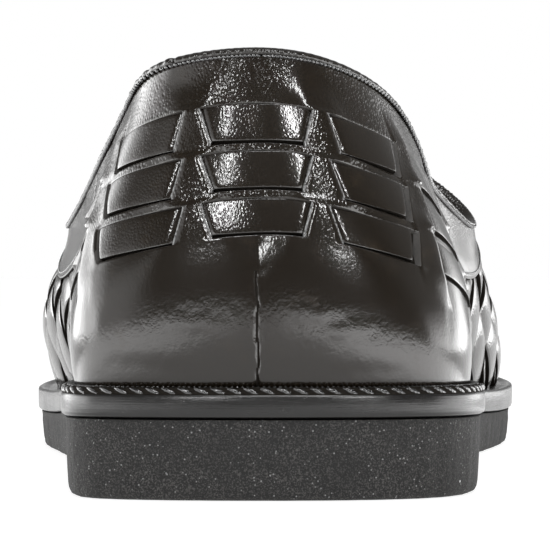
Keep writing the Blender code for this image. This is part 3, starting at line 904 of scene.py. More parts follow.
@dataclass(frozen=True)
class SpeckledCrepe:
    """Matt black crepe rubber, crumbly, with pale specks ground into it."""

    name: str
    tone: float = 0.0042
    speck: float = 0.30

    def material(self) -> bpy.types.Material:
        """Makes the material.

        Returns:
            The material.
        """
        r = Recipe(self.name)
        place = r.place()
        crumb = r.noise(place, 1.3, 6.0, 0.68, 0.3)
        pits = r.pebbles(place, 1.7).between(0.0, 0.5)
        salt = r.noise(place, 0.3, 3.0, 0.7).between(0.47, 0.65)
        specks = (1 - r.pebbles(place, 0.9).between(0.12, 0.2)) \
            * r.noise(place, 2.2, 3.0).between(0.42, 0.58)
        big = 1 - r.pebbles(r.place((1.0, 1.0, 0.8)), 5.5).between(0.022, 0.04)
        dusty = r.noise(place, 7.0, 3.0).between(0.3, 0.7)
        ground = r.mix(salt * (0.5 + 0.5 * dusty), grey(self.tone, 0.04),
                       grey(14.0 * self.tone, 0.05))
        speckled = r.mix(specks, ground, grey(0.6 * self.speck))
        r.set(Base_Color=r.mix(big, speckled, grey(2.4 * self.speck)),
              Roughness=0.74 + 0.14 * crumb,
              Normal=r.bump(pits, 0.10, r.bump(crumb, 0.34)))
        return r.material


@dataclass(frozen=True)
class WaxedThread:
    """Twisted thread, waxed nearly black."""

    name: str
    tone: float = 0.004

    def material(self) -> bpy.types.Material:
        """Makes the material.

        Returns:
            The material.
        """
        r = Recipe(self.name)
        twist = r.node("ShaderNodeTexWave", {"wave_type": "BANDS", "bands_direction": "DIAGONAL"},
                       {"Vector": r.place(), "Scale": 0.9, "Distortion": 1.2})
        r.set(Base_Color=r.mix(twist, grey(self.tone), grey(2.2 * self.tone)),
              Roughness=0.08 + 0.08 * twist, Coat_Weight=0.9, Coat_Roughness=0.12,
              Normal=r.bump(twist, 0.12), Specular_IOR_Level=0.9)
        return r.material


@dataclass(frozen=True)
class Finishes:
    """Every finish of the shoe."""

    quarter: Leather = Leather("quarter_leather", grain_depth=0.04, wrinkle_depth=0.026,
                               grain_foot=(41.0, 50.0))
    strap: Leather = Leather("strap_leather", grain=0.42, grain_depth=0.016, wrinkle_depth=0.012)
    vamp: Leather = Leather("vamp_leather", grain_depth=0.02, wrinkle_depth=0.03, roughness=0.12,
                            sheen=0.08)
    binding: Leather = Leather("gathered_binding", warm=0.3, roughness=0.17, sheen=0.16)
    # painted shade as well as cut edges: the seam's groove, the straps' beds and undersides and the
    # heel rand take this finish
    edge: CutEdgeAndShade = CutEdgeAndShade("cut_edge_and_painted_shade")
    lining: Lining = Lining("napped_lining")
    sock: Lining = Lining("rubbed_sock", tone=0.035, warm=0.14)
    rubber: BrushedRubber = BrushedRubber("brushed_rubber")
    crepe: SpeckledCrepe = SpeckledCrepe("speckled_crepe")
    thread: WaxedThread = WaxedThread("waxed_thread")


# ---------------- sub-assemblies

@dataclass
class Part:
    """What every sub-assembly shares: the last it is made on, and the ways of finishing a piece."""

    last: Last
    finishes: Finishes

    def dress(self, obj: Object, *looks: Any) -> None:
        """Puts finishes on a piece: the first all over, the second on its cut edges."""
        for look in looks:
            obj.data.materials.append(bpy.data.materials.get(look.name) or look.material())

    def finish(self, obj: Object, look: Any, slot: str, *nodes: str) -> None:
        """Dresses a piece, unless it already is, and hands it over.

        Args:
            obj: the piece.
            look: the finish.
            slot: a material slot's name; not used.
            nodes: solids that it stands for.
        """
        if not obj.data.materials:
            self.dress(obj, look)
        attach(obj, BODY)
        if nodes:
            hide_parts(*nodes)
        log.info("%s: %d faces", obj.name, len(obj.data.polygons))

    def lay(self, sheet: Object, u: Array, v: Array, level: Array | float) -> Object:
        """Draws a flat sheet over the last.

        Args:
            sheet: the sheet.
            u: the distance round of each corner.
            v: the height of each.
            level: the level of each, or of all.

        Returns:
            The sheet, facing out.
        """
        points, normals, _, _ = self.last.frames(u, v)
        level = np.broadcast_to(level, u.shape)
        put_corners(sheet, self.last.placed(points + normals * level[:, None]))
        face_out(sheet, normals)
        return sheet

    def drape(self, name: str, columns: int, rows: int, pattern: Pattern) -> Object:
        """Cuts a flat sheet and draws it over the last.

        Args:
            name: the piece's name.
            columns: faces along it.
            rows: faces across it.
            pattern: the sheet's pattern.

        Returns:
            The sheet, facing out.
        """
        sheet, column, row = flat_sheet(name, columns, rows)
        return self.lay(sheet, *pattern(column / columns, row / rows))

    def cut(self, sheet: Object, look: Any, thickness: float, bevel: float, segments: int,
            angle: float, *nodes: str) -> None:
        """Finishes a piece of black leather whose cut edges show.

        Args:
            sheet: the piece.
            look: its finish.
            thickness: its thickness.
            bevel: width of its softened edges.
            segments: faces across them.
            angle: the widest angle that is smoothed, in degrees.
            nodes: solids that it stands for.
        """
        self.dress(sheet, look, self.finishes.edge)
        thicken(sheet, thickness, bevel, segments)
        smooth_shade(sheet, angle)
        self.finish(sheet, look, "black_leather", *nodes)

    def back_up(self, name: str, faces: tuple[int, int], span: tuple[float, float], foot: float,
                level: float, thickness: float) -> None:
        """Lines leather from behind, up to its cut edge.

        Args:
            name: the lining's name.
            faces: how many it has along and across.
            span: the distances round of its ends.
            foot: the height of its foot.
            level: its level.
            thickness: its thickness.
        """
        start, end = span

        def pattern(along: Array, across: Array) -> tuple[Array, Array, float]:
            """Runs straight from end to end and from the foot up."""
            return (start + (end - start) * along,
                    foot + (self.last.sheet_height - foot) * across, level)

        sheet = self.drape(name, *faces, pattern)
        thicken(sheet, thickness, 0.2, 1)
        smooth_shade(sheet)
        self.finish(sheet, self.finishes.lining, "black_leather")


class Show(NamedTuple):
    """Where a strap shows, from the middle of its row: its ends along its top and its bottom."""

    start_top: float
    start_low: float
    end_top: float
    end_low: float


class StrapRow(NamedTuple):
    """A row of strap: its edges' distances below the topline, its middle, and where it shows.

    The middle is a distance round from the pattern's back line, and half is half the length that
    shows at the back, along the top and the bottom.
    """

    name: str
    top: float
    bottom: float
    middle: float
    half: tuple[float, float]
    shows: tuple[Show, ...]


STRAP_ROWS = (
    StrapRow("upper", 10.0, 16.1, 0.5, (15.3, 11.6),
             (Show(19.8, 21.0, 37.0, 33.7), Show(42.0, 41.0, 63.0, 61.0),
              Show(69.5, 69.0, 91.0, 91.0))),
    StrapRow("middle", 18.0, 24.1, 1.0, (13.5, 9.8),
             (Show(18.0, 19.3, 34.8, 31.6), Show(40.5, 39.3, 61.5, 60.0),
              Show(69.0, 68.5, 91.0, 91.0))),
    StrapRow("lower", 26.1, 31.8, 1.5, (11.8, 9.0),
             (Show(15.8, 16.9, 32.4, 29.9), Show(38.0, 36.4, 60.0, 58.5),
              Show(68.5, 68.0, 91.0, 91.0))),
)


class Crease(NamedTuple):
    """A listed crease: its ends and its sag on the sheet, its width and its depth."""

    name: str
    start: float
    start_up: float
    end: float
    end_up: float
    sag: float
    width: float
    depth: float


CREASES = (
    Crease("left of seam, high", 3.5, 13.0, 12.0, 14.2, 0.6, 1.1, 0.07),
    Crease("left of seam, middle", 5.0, 11.2, 17.0, 12.8, 0.9, 1.2, 0.09),
    Crease("left of seam, low", 9.0, 9.4, 19.0, 10.2, -0.5, 0.9, 0.06),
    Crease("left wave", 14.0, 14.6, 25.0, 12.2, 0.8, 1.4, 0.07),
    Crease("right of seam, high", -2.5, 11.6, -14.0, 11.4, -0.8, 1.1, 0.07),
    Crease("right of seam, middle", -6.0, 9.6, -18.0, 12.4, 0.7, 1.1, 0.09),
    Crease("right of seam, low", -9.0, 8.0, -20.0, 9.8, -0.5, 0.9, 0.07),
    Crease("right wave", -16.0, 12.0, -27.0, 13.6, -0.7, 1.4, 0.07),
    Crease("under the lower strap", -6.0, 23.2, 9.0, 23.6, -0.5, 1.2, 0.14),
    Crease("outer foot", 12.0, 3.0, 30.0, 4.6, 0.5, 1.4, 0.10),
    Crease("inner foot", -8.0, 2.6, -24.0, 3.2, 0.4, 1.2, 0.08),
    Crease("outer corner", 29.0, 6.0, 34.0, 17.0, 1.0, 2.4, 0.08),
    Crease("inner corner", -32.0, 6.0, -38.0, 18.0, 1.0, 2.4, 0.08),
    Crease("outer waist", 66.0, 8.0, 88.0, 13.0, 1.2, 3.0, 0.24),
    Crease("inner waist", -64.0, 8.0, -90.0, 14.0, 1.2, 3.0, 0.24),
)


class Zone(Enum):
    """What a place of a strap row is.

    It is strap at the back, the tab of leather beside it that the straps pass under, strap at the
    side, or plain leather between further slots.
    """

    BACK = 0
    TAB = 1
    SIDE = 2
    PLAIN = 3


# From one knot to the next, from the back line round
ZONES = (Zone.BACK, Zone.TAB, Zone.SIDE, Zone.PLAIN, Zone.SIDE, Zone.PLAIN, Zone.SIDE, Zone.PLAIN)


class SheetRow(NamedTuple):
    """A row of corners of the quarter's sheet.

    It lies at a distance below the topline or, where that is None, at a height on the sheet, and
    inside says whether it is in a strap row.
    """

    below: float | None
    height: float = 0.0
    inside: bool = False


@dataclass
class Chart:
    """The quarter's flat sheet, with a number for each corner, by row and column.

    These are its distance round, its height, its distance below the topline, its zone's value and
    whether it is in a strap row.
    """

    u: Array
    v: Array
    below: Array
    zone: Array
    inside: Array

    def holds(self, *zones: Zone) -> Array:
        """Whether each corner is in one of these zones."""
        return np.isin(self.zone, [zone.value for zone in zones])

    def beds(self) -> Array:
        """Whether each corner is in a strap's bed."""
        return self.inside & self.holds(Zone.BACK, Zone.SIDE)

    def down(self, row: StrapRow) -> Array:
        """Share of the way down a strap row at each corner, from 0 at its top to 1."""
        return np.clip((self.below - row.top) / (row.bottom - row.top), 0, 1)

    def tabs(self) -> Iterator[tuple[Array, Array, Array]]:
        """Finds the tab on each side.

        Yields:
            Its columns, and the distances round of its two edges in each row.
        """
        for side in Side:
            tab = np.flatnonzero(self.holds(Zone.TAB)[0] & (self.u[0] * side.value > 0))
            u = self.u[:, tab]
            yield tab, u.min(axis=1)[:, None], u.max(axis=1)[:, None]

    def near_tab(self) -> tuple[Array, Array]:
        """Measures nearness to the tabs.

        Returns:
            How near each corner is to a tab, sideways, and to a tab's own cut edges.
        """
        near, edge = np.zeros_like(self.u), np.zeros_like(self.u)
        spread = 4.8 + 1.6 * np.maximum(self.below - STRAP_ROWS[-1].bottom, 0.0)
        for _, low, high in self.tabs():
            gap = np.maximum(np.maximum(low - self.u, self.u - high), 0.0)
            near = np.maximum(near, np.exp(-(gap / spread) ** 2))
            within = np.clip(np.minimum(self.u - low, high - self.u), 0.0, None) + 9.0 * (gap > 0)
            edge = np.maximum(edge, 1 - ease(within / 1.2))
        return near, edge

    def painted_highlight_edges(self) -> Array:
        """Finds the tabs' own edges, where a highlight is painted pale and the grain is deepened.

        Returns:
            How near each corner of a tab is to the tab's own cut edges, from 0 to 1.
        """
        wear_and_painted_highlight = np.zeros_like(self.u)
        for tab, low, high in self.tabs():
            within = np.minimum(self.u[:, tab] - low, high - self.u[:, tab])
            wear_and_painted_highlight[:, tab] = (1 - ease(within / 0.65)) * self.inside[:, tab]
        return wear_and_painted_highlight

    def bridge(self, row: StrapRow) -> Array:
        """Finds the bridges: leather that is lifted where a further strap comes out from under it.

        Args:
            row: the strap row.

        Returns:
            How far each corner is lifted, from 0 to 1.
        """
        lifted = np.zeros_like(self.u)
        for show in row.shows[1:]:
            start = show.start_top + (show.start_low - show.start_top) * self.down(row)
            before = start - np.abs(self.u - row.middle)
            near = np.exp(-(before / 3.2) ** 2)
            lifted = np.maximum(lifted, np.where(before > -0.5, near, 0.0))
        return lifted

    def cut_edges(self) -> Array:
        """Finds the raw cut edges.

        Returns:
            1 at each corner that stands at one, and 0 elsewhere.
        """
        bed, tab = self.beds(), self.holds(Zone.TAB)
        cut = np.zeros(bed.shape)
        for step, border in ((-1, -1), (1, 0)):
            edge = (bed ^ np.roll(bed, step, axis=1)) & ~tab & ~np.roll(tab, step, axis=1)
            edge[:, border] = False
            cut[edge] = 1.0
            edge = bed ^ np.roll(bed, step, axis=0)
            edge[border] = False
            cut[edge] = 1.0
        return cut


@dataclass
class Quarter(Part):
    """The plain leather round the heel, with strap rows threaded through it.

    slot, channel and top_gap are the slots' clearances beyond a strap's tip, under it and over it.
    Levels give way over settle, and walls are half the widths of the steps beside each knot.
    """

    leather: float = 0.9
    droop: tuple[float, float] = (0.10, 0.15)
    droop_end: float = 40.0
    slot: float = 1.25
    channel: float = 0.32
    top_gap: float = 0.12
    recess: float = -1.0
    strap_level: float = 0.42
    strap_thickness: float = 0.95
    strap_roll: float = 0.17
    tab_level: float = 0.84
    bridge_level: float = 0.85
    wall: float = 0.07
    walls: tuple[float, ...] = (0.0, 0.1, 0.1, 0.16, 0.07, 0.12, 0.07, 0.12)
    seam_depth: float = 0.6
    seam_width: float = 0.2
    seam_top: float = 19.4
    foot_roll: float = 1.2
    foot_below: float = 38.0
    fade_down: float = 38.0
    settle: float = 1.5
    last_settle: float = 6.0
    zone_faces: tuple[int, ...] = (0, 14, 24, 8, 18, 8, 16, 10)
    foot_heights: tuple[float, ...] = (-1.8, -0.7, 0.0)
    plain_heights: Triple = (0.35, 19.5, 0.55)
    low_gaps: tuple[float, ...] = (4.4, 3.8, 3.2, 2.6, 2.1, 1.6, 1.2, 0.8, 0.4)
    high_gaps: tuple[float, ...] = (0.5, 0.9, 1.3, 1.8, 2.4, 3.1, 3.9, 4.8, 5.8, 6.8, 7.8, 8.6)

    def middle(self, distance: Array) -> Array:
        """Where the back seam's line lies on the pattern, this far below the topline."""
        below = [-5.0, 13.0, 21.0, 29.0, 40.0]
        return np.interp(distance, below, [0.2, 0.5, 1.0, 1.5, 1.9])

    def strap_height(self, distance: Array | float, u: Array) -> Array:
        """Height on the sheet of a line that runs with the straps."""
        share = np.where(u > 0, self.droop[0], self.droop[1]) * ease(np.abs(u) / self.droop_end)
        return self.last.below_top(u, np.asarray(distance) * (1 + share))

    def slot_edges(self, row: StrapRow) -> tuple[float, float]:
        """Distances below the topline of the lower and the upper edge of a row's slots."""
        return row.bottom + self.channel, row.top - self.top_gap

    def knots(self, side: Side) -> tuple[Array, Array]:
        """Draws the lines that run up the leather: where tabs, bridges and slots have their edges.

        Args:
            side: which way round.

        Returns:
            Distances below the topline, and a row of the knots' distances round at each.
        """
        below, table = [], []
        for row in STRAP_ROWS:
            for low, distance in ((0, row.top), (1, row.bottom)):
                line = [0.0, row.half[low]]
                for show in row.shows:
                    line += [show[low], show[2 + low] + self.slot]
                table.append([row.middle * (1 - s / self.last.quarter_front) * side.value + s
                              for s in (*line, self.last.quarter_front)])
                below.append(distance)
        return np.array(below), np.array(table)

    def columns(self) -> list[tuple[float, Zone]]:
        """Lists the columns of the sheet.

        Returns:
            A knot's number with the share of the way to the next, and the zone, in order.
        """
        seam = np.array((0.0, 0.12, 0.24, 0.4, 0.62, 0.9, 1.25, 1.7, 2.3, 3.0, 3.8)) / 12.0
        back = np.concatenate([seam, np.linspace(seam[-1], 1.0, 19)[1:]])
        half: list[tuple[float, Zone]] = []
        for n, (zone, faces) in enumerate(zip(ZONES, self.zone_faces)):
            shares = np.linspace(0.0, 1.0, faces + 1) if faces else back
            if zone is Zone.TAB:
                shares = 0.5 * shares + 0.25 - 0.25 * np.cos(pi * shares)
            half += [(n + share, zone) for share in shares]
        return [(-place, zone) for place, zone in half[:0:-1]] + half

    def rows(self) -> list[SheetRow]:
        """Lists the rows of the sheet.

        Returns:
            The rows, lowest first.
        """
        heights = (*self.foot_heights, *np.arange(*self.plain_heights))
        found = [SheetRow(None, height) for height in heights]
        low, _ = self.slot_edges(STRAP_ROWS[-1])
        found += [SheetRow(low + gap) for gap in self.low_gaps]
        for n in reversed(range(len(STRAP_ROWS))):
            low, high = self.slot_edges(STRAP_ROWS[n])
            found.append(SheetRow(low + self.wall))
            within = np.linspace(low - self.wall, high + self.wall, 11)
            found += [SheetRow(distance, inside=True) for distance in within]
            found.append(SheetRow(high - self.wall))
            if n:
                above, _ = self.slot_edges(STRAP_ROWS[n - 1])
                between = np.linspace(high - self.wall, above + self.wall, 5)[1:-1]
                found += [SheetRow(distance) for distance in between]
        return found + [SheetRow(high - gap) for gap in self.high_gaps]

    def chart(self) -> Chart:
        """Charts the sheet.

        Returns:
            The chart.
        """
        columns, rows = self.columns(), self.rows()
        u = np.empty((len(rows), len(columns)))
        v = np.empty_like(u)
        knots = {side: self.knots(side) for side in Side}
        for r, row in enumerate(rows):
            for side, (below, table) in knots.items():
                at = self.foot_below if row.below is None else row.below
                line = [np.interp(at, below, knot) for knot in table.T]
                mine = [c for c, (place, _) in enumerate(columns)
                        if (place >= 0) == (side is Side.OUTER)]
                places = [abs(columns[c][0]) for c in mine]
                u[r, mine] = side.value * np.interp(places, np.arange(len(line)), line)
            v[r] = row.height if row.below is None else self.strap_height(row.below, u[r])
        # The two corners at a knot stand a wall apart
        for c in range(1, len(columns)):
            if columns[c][0] == columns[c - 1][0]:
                apart = self.walls[int(abs(columns[c][0]))]
                u[:, c - 1] -= apart
                u[:, c] += apart
        # The plain rows are stretched up to the first of the strap rows
        lowest, first = len(self.foot_heights) - 1, sum(row.below is None for row in rows)
        v[lowest:first] *= (v[first] - 0.45) / v[first - 1]
        distances = [rows[first].below if row.below is None else row.below for row in rows]
        below = np.tile(np.array(distances)[:, None], len(columns))
        below[:first] += v[first] - v[:first]
        zone = np.tile([z.value for _, z in columns], (len(rows), 1))
        inside = np.tile(np.array([row.inside for row in rows])[:, None], len(columns))
        return Chart(u, v, below, zone, inside)

    def level(self, chart: Chart) -> Array:
        """Works out the level of the leather.

        Args:
            chart: the sheet.

        Returns:
            The level of each corner: slack, seam, creases, rolled foot, beds, tabs and lips.
        """
        u, v, below = chart.u, chart.v, chart.below
        level = 0.09 * np.sin(u / 7.0 + 0.8 * np.sin(v / 6.0)) * np.sin(v / 7.5 + 0.4)
        level = level + 0.05 * np.sin(u / 2.9 + 1.3 * np.sin(v / 3.1)) * np.sin(v / 3.7)
        level = self.creased(self.seamed(level, chart), chart)
        level = level - self.foot_roll * (1 - np.clip(v / 1.7, 0, 1)) ** 2
        plain, beds = chart.holds(Zone.PLAIN), chart.beds()
        over, hump = np.zeros_like(level), np.zeros_like(level)
        for row in STRAP_ROWS:
            low, high = self.slot_edges(row)
            bed = self.recess + 0.25 * np.cos((below - high) / (low - high) * 2 * pi)
            level = np.where(beds & (below < low) & (below > high), bed, level)
            rise = ease((below - high + 6.0) / 6.0)
            rise = rise * ease((low + self.fade_down - below) / self.fade_down)
            over = np.maximum(over, rise)
            hump = np.maximum(hump, ease((below - high + 1.1) / 1.3)
                              * ease((low + 1.6 - below) / (low - high + 1.6)))
            settle = self.last_settle if row is STRAP_ROWS[-1] else self.settle
            lifted = self.bridge_level * ease((low - 0.2 + settle - below) / settle)
            level = level + np.where(plain, lifted * rise * chart.bridge(row), 0.0)
            lip = plain * ease((below - high + 1.0) / 1.5) * ease((low + 1.0 - below) / 1.5)
            level = level + 0.3 * lip * self.lip(chart, row)
        first, last = STRAP_ROWS[0].top + 1.0, STRAP_ROWS[-1].bottom - 1.0
        over = np.where((below > first) & (below < last), 1.0, over)
        near, edge = chart.near_tab()
        over = over * near
        lifted = self.tab_level - 0.4 * edge * chart.holds(Zone.TAB) * chart.inside
        lifted = lifted + 0.34 * (hump - 0.4) * near ** 12
        return np.where(beds, level, level + over * (lifted - level))

    def seam_wave(self, v: Array) -> Array:
        """How far the back seam wanders from its line."""
        return 0.13 * np.sin(v * 0.8) + 0.10 * np.sin(v * 2.1 + 1.0)

    def seamed(self, level: Array, chart: Chart) -> Array:
        """Adds the back seam: a groove with puckered sides and a bar across its top.

        Args:
            level: the level without it.
            chart: the sheet.

        Returns:
            The level with it.
        """
        v, off = chart.v, chart.u - self.middle(chart.below)
        aside = off - self.seam_wave(v)
        width = self.seam_width * (1 + 0.8 * np.sin(v * 2.7) ** 6 + 1.2 * ease((2.4 - v) / 2.4))
        under = ease((self.seam_top - v) / 0.5)
        pucker = 0.03 + 0.05 * np.sin(v * 5.1 + 2.0 * np.sign(aside)) ** 8
        level = level + under * (pucker * np.exp(-((np.abs(aside) - 0.6) / 0.3) ** 2)
                                 - self.seam_depth * np.exp(-(np.abs(aside) / width) ** 2))
        bar = np.exp(-((v - self.seam_top - 0.2 - 0.25 * np.sin(off * 1.9)) / 0.32) ** 2)
        return level - 0.3 * bar * ease((2.6 - np.abs(off)) / 0.8)

    def creased(self, level: Array, chart: Chart) -> Array:
        """Adds the creases.

        Args:
            level: the level without them.
            chart: the sheet.

        Returns:
            The level with them.
        """
        u, v = chart.u, chart.v
        for crease in CREASES:
            reach = (u - crease.start) / (crease.end - crease.start)
            line = crease.start_up + (crease.end_up - crease.start_up) * reach \
                + crease.sag * np.sin(pi * np.clip(reach, 0, 1)) + 0.25 * np.sin(u * 1.7 + crease.width)
            fade = ease(reach * 5) * ease((1 - reach) * 5)
            off = (v - line) / crease.width
            level = level + fade * crease.depth * (0.5 * np.exp(-(off - 1.6) ** 2)
                                                   - np.exp(-off ** 2))
        return level

    def lip(self, chart: Chart, row: StrapRow) -> Array:
        """Finds the leather that lifts at the far edge of each slot.

        Args:
            chart: the sheet.
            row: the strap row.

        Returns:
            How near each corner is to such an edge, from 0 to 1.
        """
        lifted = np.zeros_like(chart.u)
        for show in row.shows:
            end = show.end_top + (show.end_low - show.end_top) * chart.down(row) + self.slot
            past = np.abs(chart.u - row.middle) - end
            near = np.exp(-np.maximum(past, 0.0) / 1.4)
            lifted = np.maximum(lifted, np.where(past > -0.3, near, 0.0))
        return lifted

    def seam_line(self, chart: Chart) -> Array:
        """Finds the bottom of the back seam.

        Args:
            chart: the sheet.

        Returns:
            Whether each corner lies in it.
        """
        off = chart.u - self.middle(chart.below) - self.seam_wave(chart.v)
        wide = self.seam_width * (1.0 + 0.5 * np.sin(chart.v * 2.7) ** 6)
        return (np.abs(off) < wide) & (chart.v < self.seam_top)

    def make(self) -> None:
        """Makes the quarter, its straps and its lining."""
        self.heel_leather()
        self.heel_straps()
        reach = self.last.quarter_front + 1.0
        self.back_up("quarter_lining", (170, 30), (-reach, reach), -0.5, -1.45, 0.9)

    def heel_leather(self) -> None:
        """Makes the leather, with the straps' beds and slots in it."""
        chart = self.chart()
        rows, columns = chart.u.shape
        sheet, column, row = flat_sheet("quarter", columns - 1, rows - 1)
        self.lay(sheet, chart.u[row, column], chart.v[row, column], self.level(chart)[row, column])
        # the tabs' edges go below 0 here, and the leather finish paints a highlight on them
        cut = chart.cut_edges() - chart.painted_highlight_edges()
        edges = sheet.data.attributes.new("cut", "FLOAT", "POINT")
        edges.data.foreach_set("value", cut[row, column].astype(np.float32))
        # painted shade: the seam's groove and the straps' beds take the dull black edge finish, which
        # stands for the shade in them
        deep = (self.seam_line(chart) | chart.beds())[row, column]
        faces = np.empty(len(sheet.data.loops), dtype=int)
        sheet.data.loops.foreach_get("vertex_index", faces)
        use_second(sheet, deep[faces.reshape(-1, 4)].mean(axis=1) > 0.7)
        self.cut(sheet, self.finishes.quarter, self.leather, 0.11, 1, 50.0, "upper")

    def heel_straps(self) -> None:
        """Makes every strap that shows between the slots."""
        straps = []
        for row in STRAP_ROWS:
            straps.append(self.back_strap(row))
            for side in Side:
                straps += [self.side_strap(row, show, side) for show in row.shows]
        piece = joined("heel_straps", straps)
        self.cut(piece, self.finishes.strap, self.strap_thickness, 0.08, 2, 60.0)
        # painted shade: faces that look down take the dull black edge finish, so the straps' undersides
        # read as shade without floor reflection
        use_second(piece, read(piece.data.polygons, "normal")[:, 2] < -0.22)

    def strap_face(self, row: StrapRow, s: Array, across: Array, beat: float) -> Array:
        """Works out the level of a strap's face, rounded and rolled down to its upper edge.

        Args:
            row: the strap's row.
            s: distances along the strap.
            across: shares of its width.
            beat: how fast it waves along its length.

        Returns:
            The level of each corner.
        """
        crown = 1 - np.abs(2 * across - 1) ** 10
        level = self.strap_level + 0.05 * crown + 0.05 * np.sin(s * beat + row.top)
        return level - self.strap_roll * across ** 2

    def toward_edges(self, across: Array) -> Array:
        """Shares across a strap, set closer together towards its edges."""
        return 0.3 * across + 0.35 * (1 - np.cos(pi * across))

    def back_strap(self, row: StrapRow) -> Object:
        """Cuts the strap across the back of the heel, with both ends under their tabs.

        Args:
            row: the strap's row.

        Returns:
            The strap.
        """
        reach = max(row.half) + 2.2

        def pattern(along: Array, across: Array) -> tuple[Array, Array, Array]:
            """Sags a little towards both ends.

            Args:
                along: shares along the sheet.
                across: shares across it.

            Returns:
                Distance round, height and level of each corner.
            """
            across = self.toward_edges(across)
            s = (2 * along - 1) * reach
            distance = row.bottom + (row.top - row.bottom) * across - 0.6 * (s / 13.0) ** 2
            u = s + row.middle
            near = (row.half[1] + (row.half[0] - row.half[1]) * across) - np.abs(s)
            level = self.strap_face(row, s, across, 0.45)
            level = level - 0.75 * (1 - ease((near + 1.6) / 2.4))
            return u, self.strap_height(distance, u), level

        return self.drape("strap", 56, 12, pattern)

    def side_strap(self, row: StrapRow, show: Show, side: Side) -> Object:
        """Cuts a strap along the side, from under its tab or bridge to its slot.

        Args:
            row: the strap's row.
            show: where it shows.
            side: which way round.

        Returns:
            The strap.
        """
        sink = 0.75 if show is row.shows[0] else 1.0

        def pattern(along: Array, across: Array) -> tuple[Array, Array, Array]:
            """Dives under the leather at both ends.

            Args:
                along: shares along the sheet.
                across: shares across it.

            Returns:
                Distance round, height and level of each corner.
            """
            across = self.toward_edges(across)
            start = show.start_low + (show.start_top - show.start_low) * across - 1.8
            end = show.end_low + (show.end_top - show.end_low) * across + 0.5
            s = start + (end - start) * along
            u = row.middle + side.value * s
            distance = row.bottom + (row.top - row.bottom) * across
            level = self.strap_face(row, s, across, 0.5)
            level = level - sink * (1 - ease((s - start) / 3.0))
            level = level - 1.5 * (1 - ease((end - s) / 0.7)) ** 2
            return u, self.strap_height(distance, u), level

        columns = max(26, int((show.end_top - show.start_top) * 1.7))
        return self.drape("strap", columns, 12, pattern)

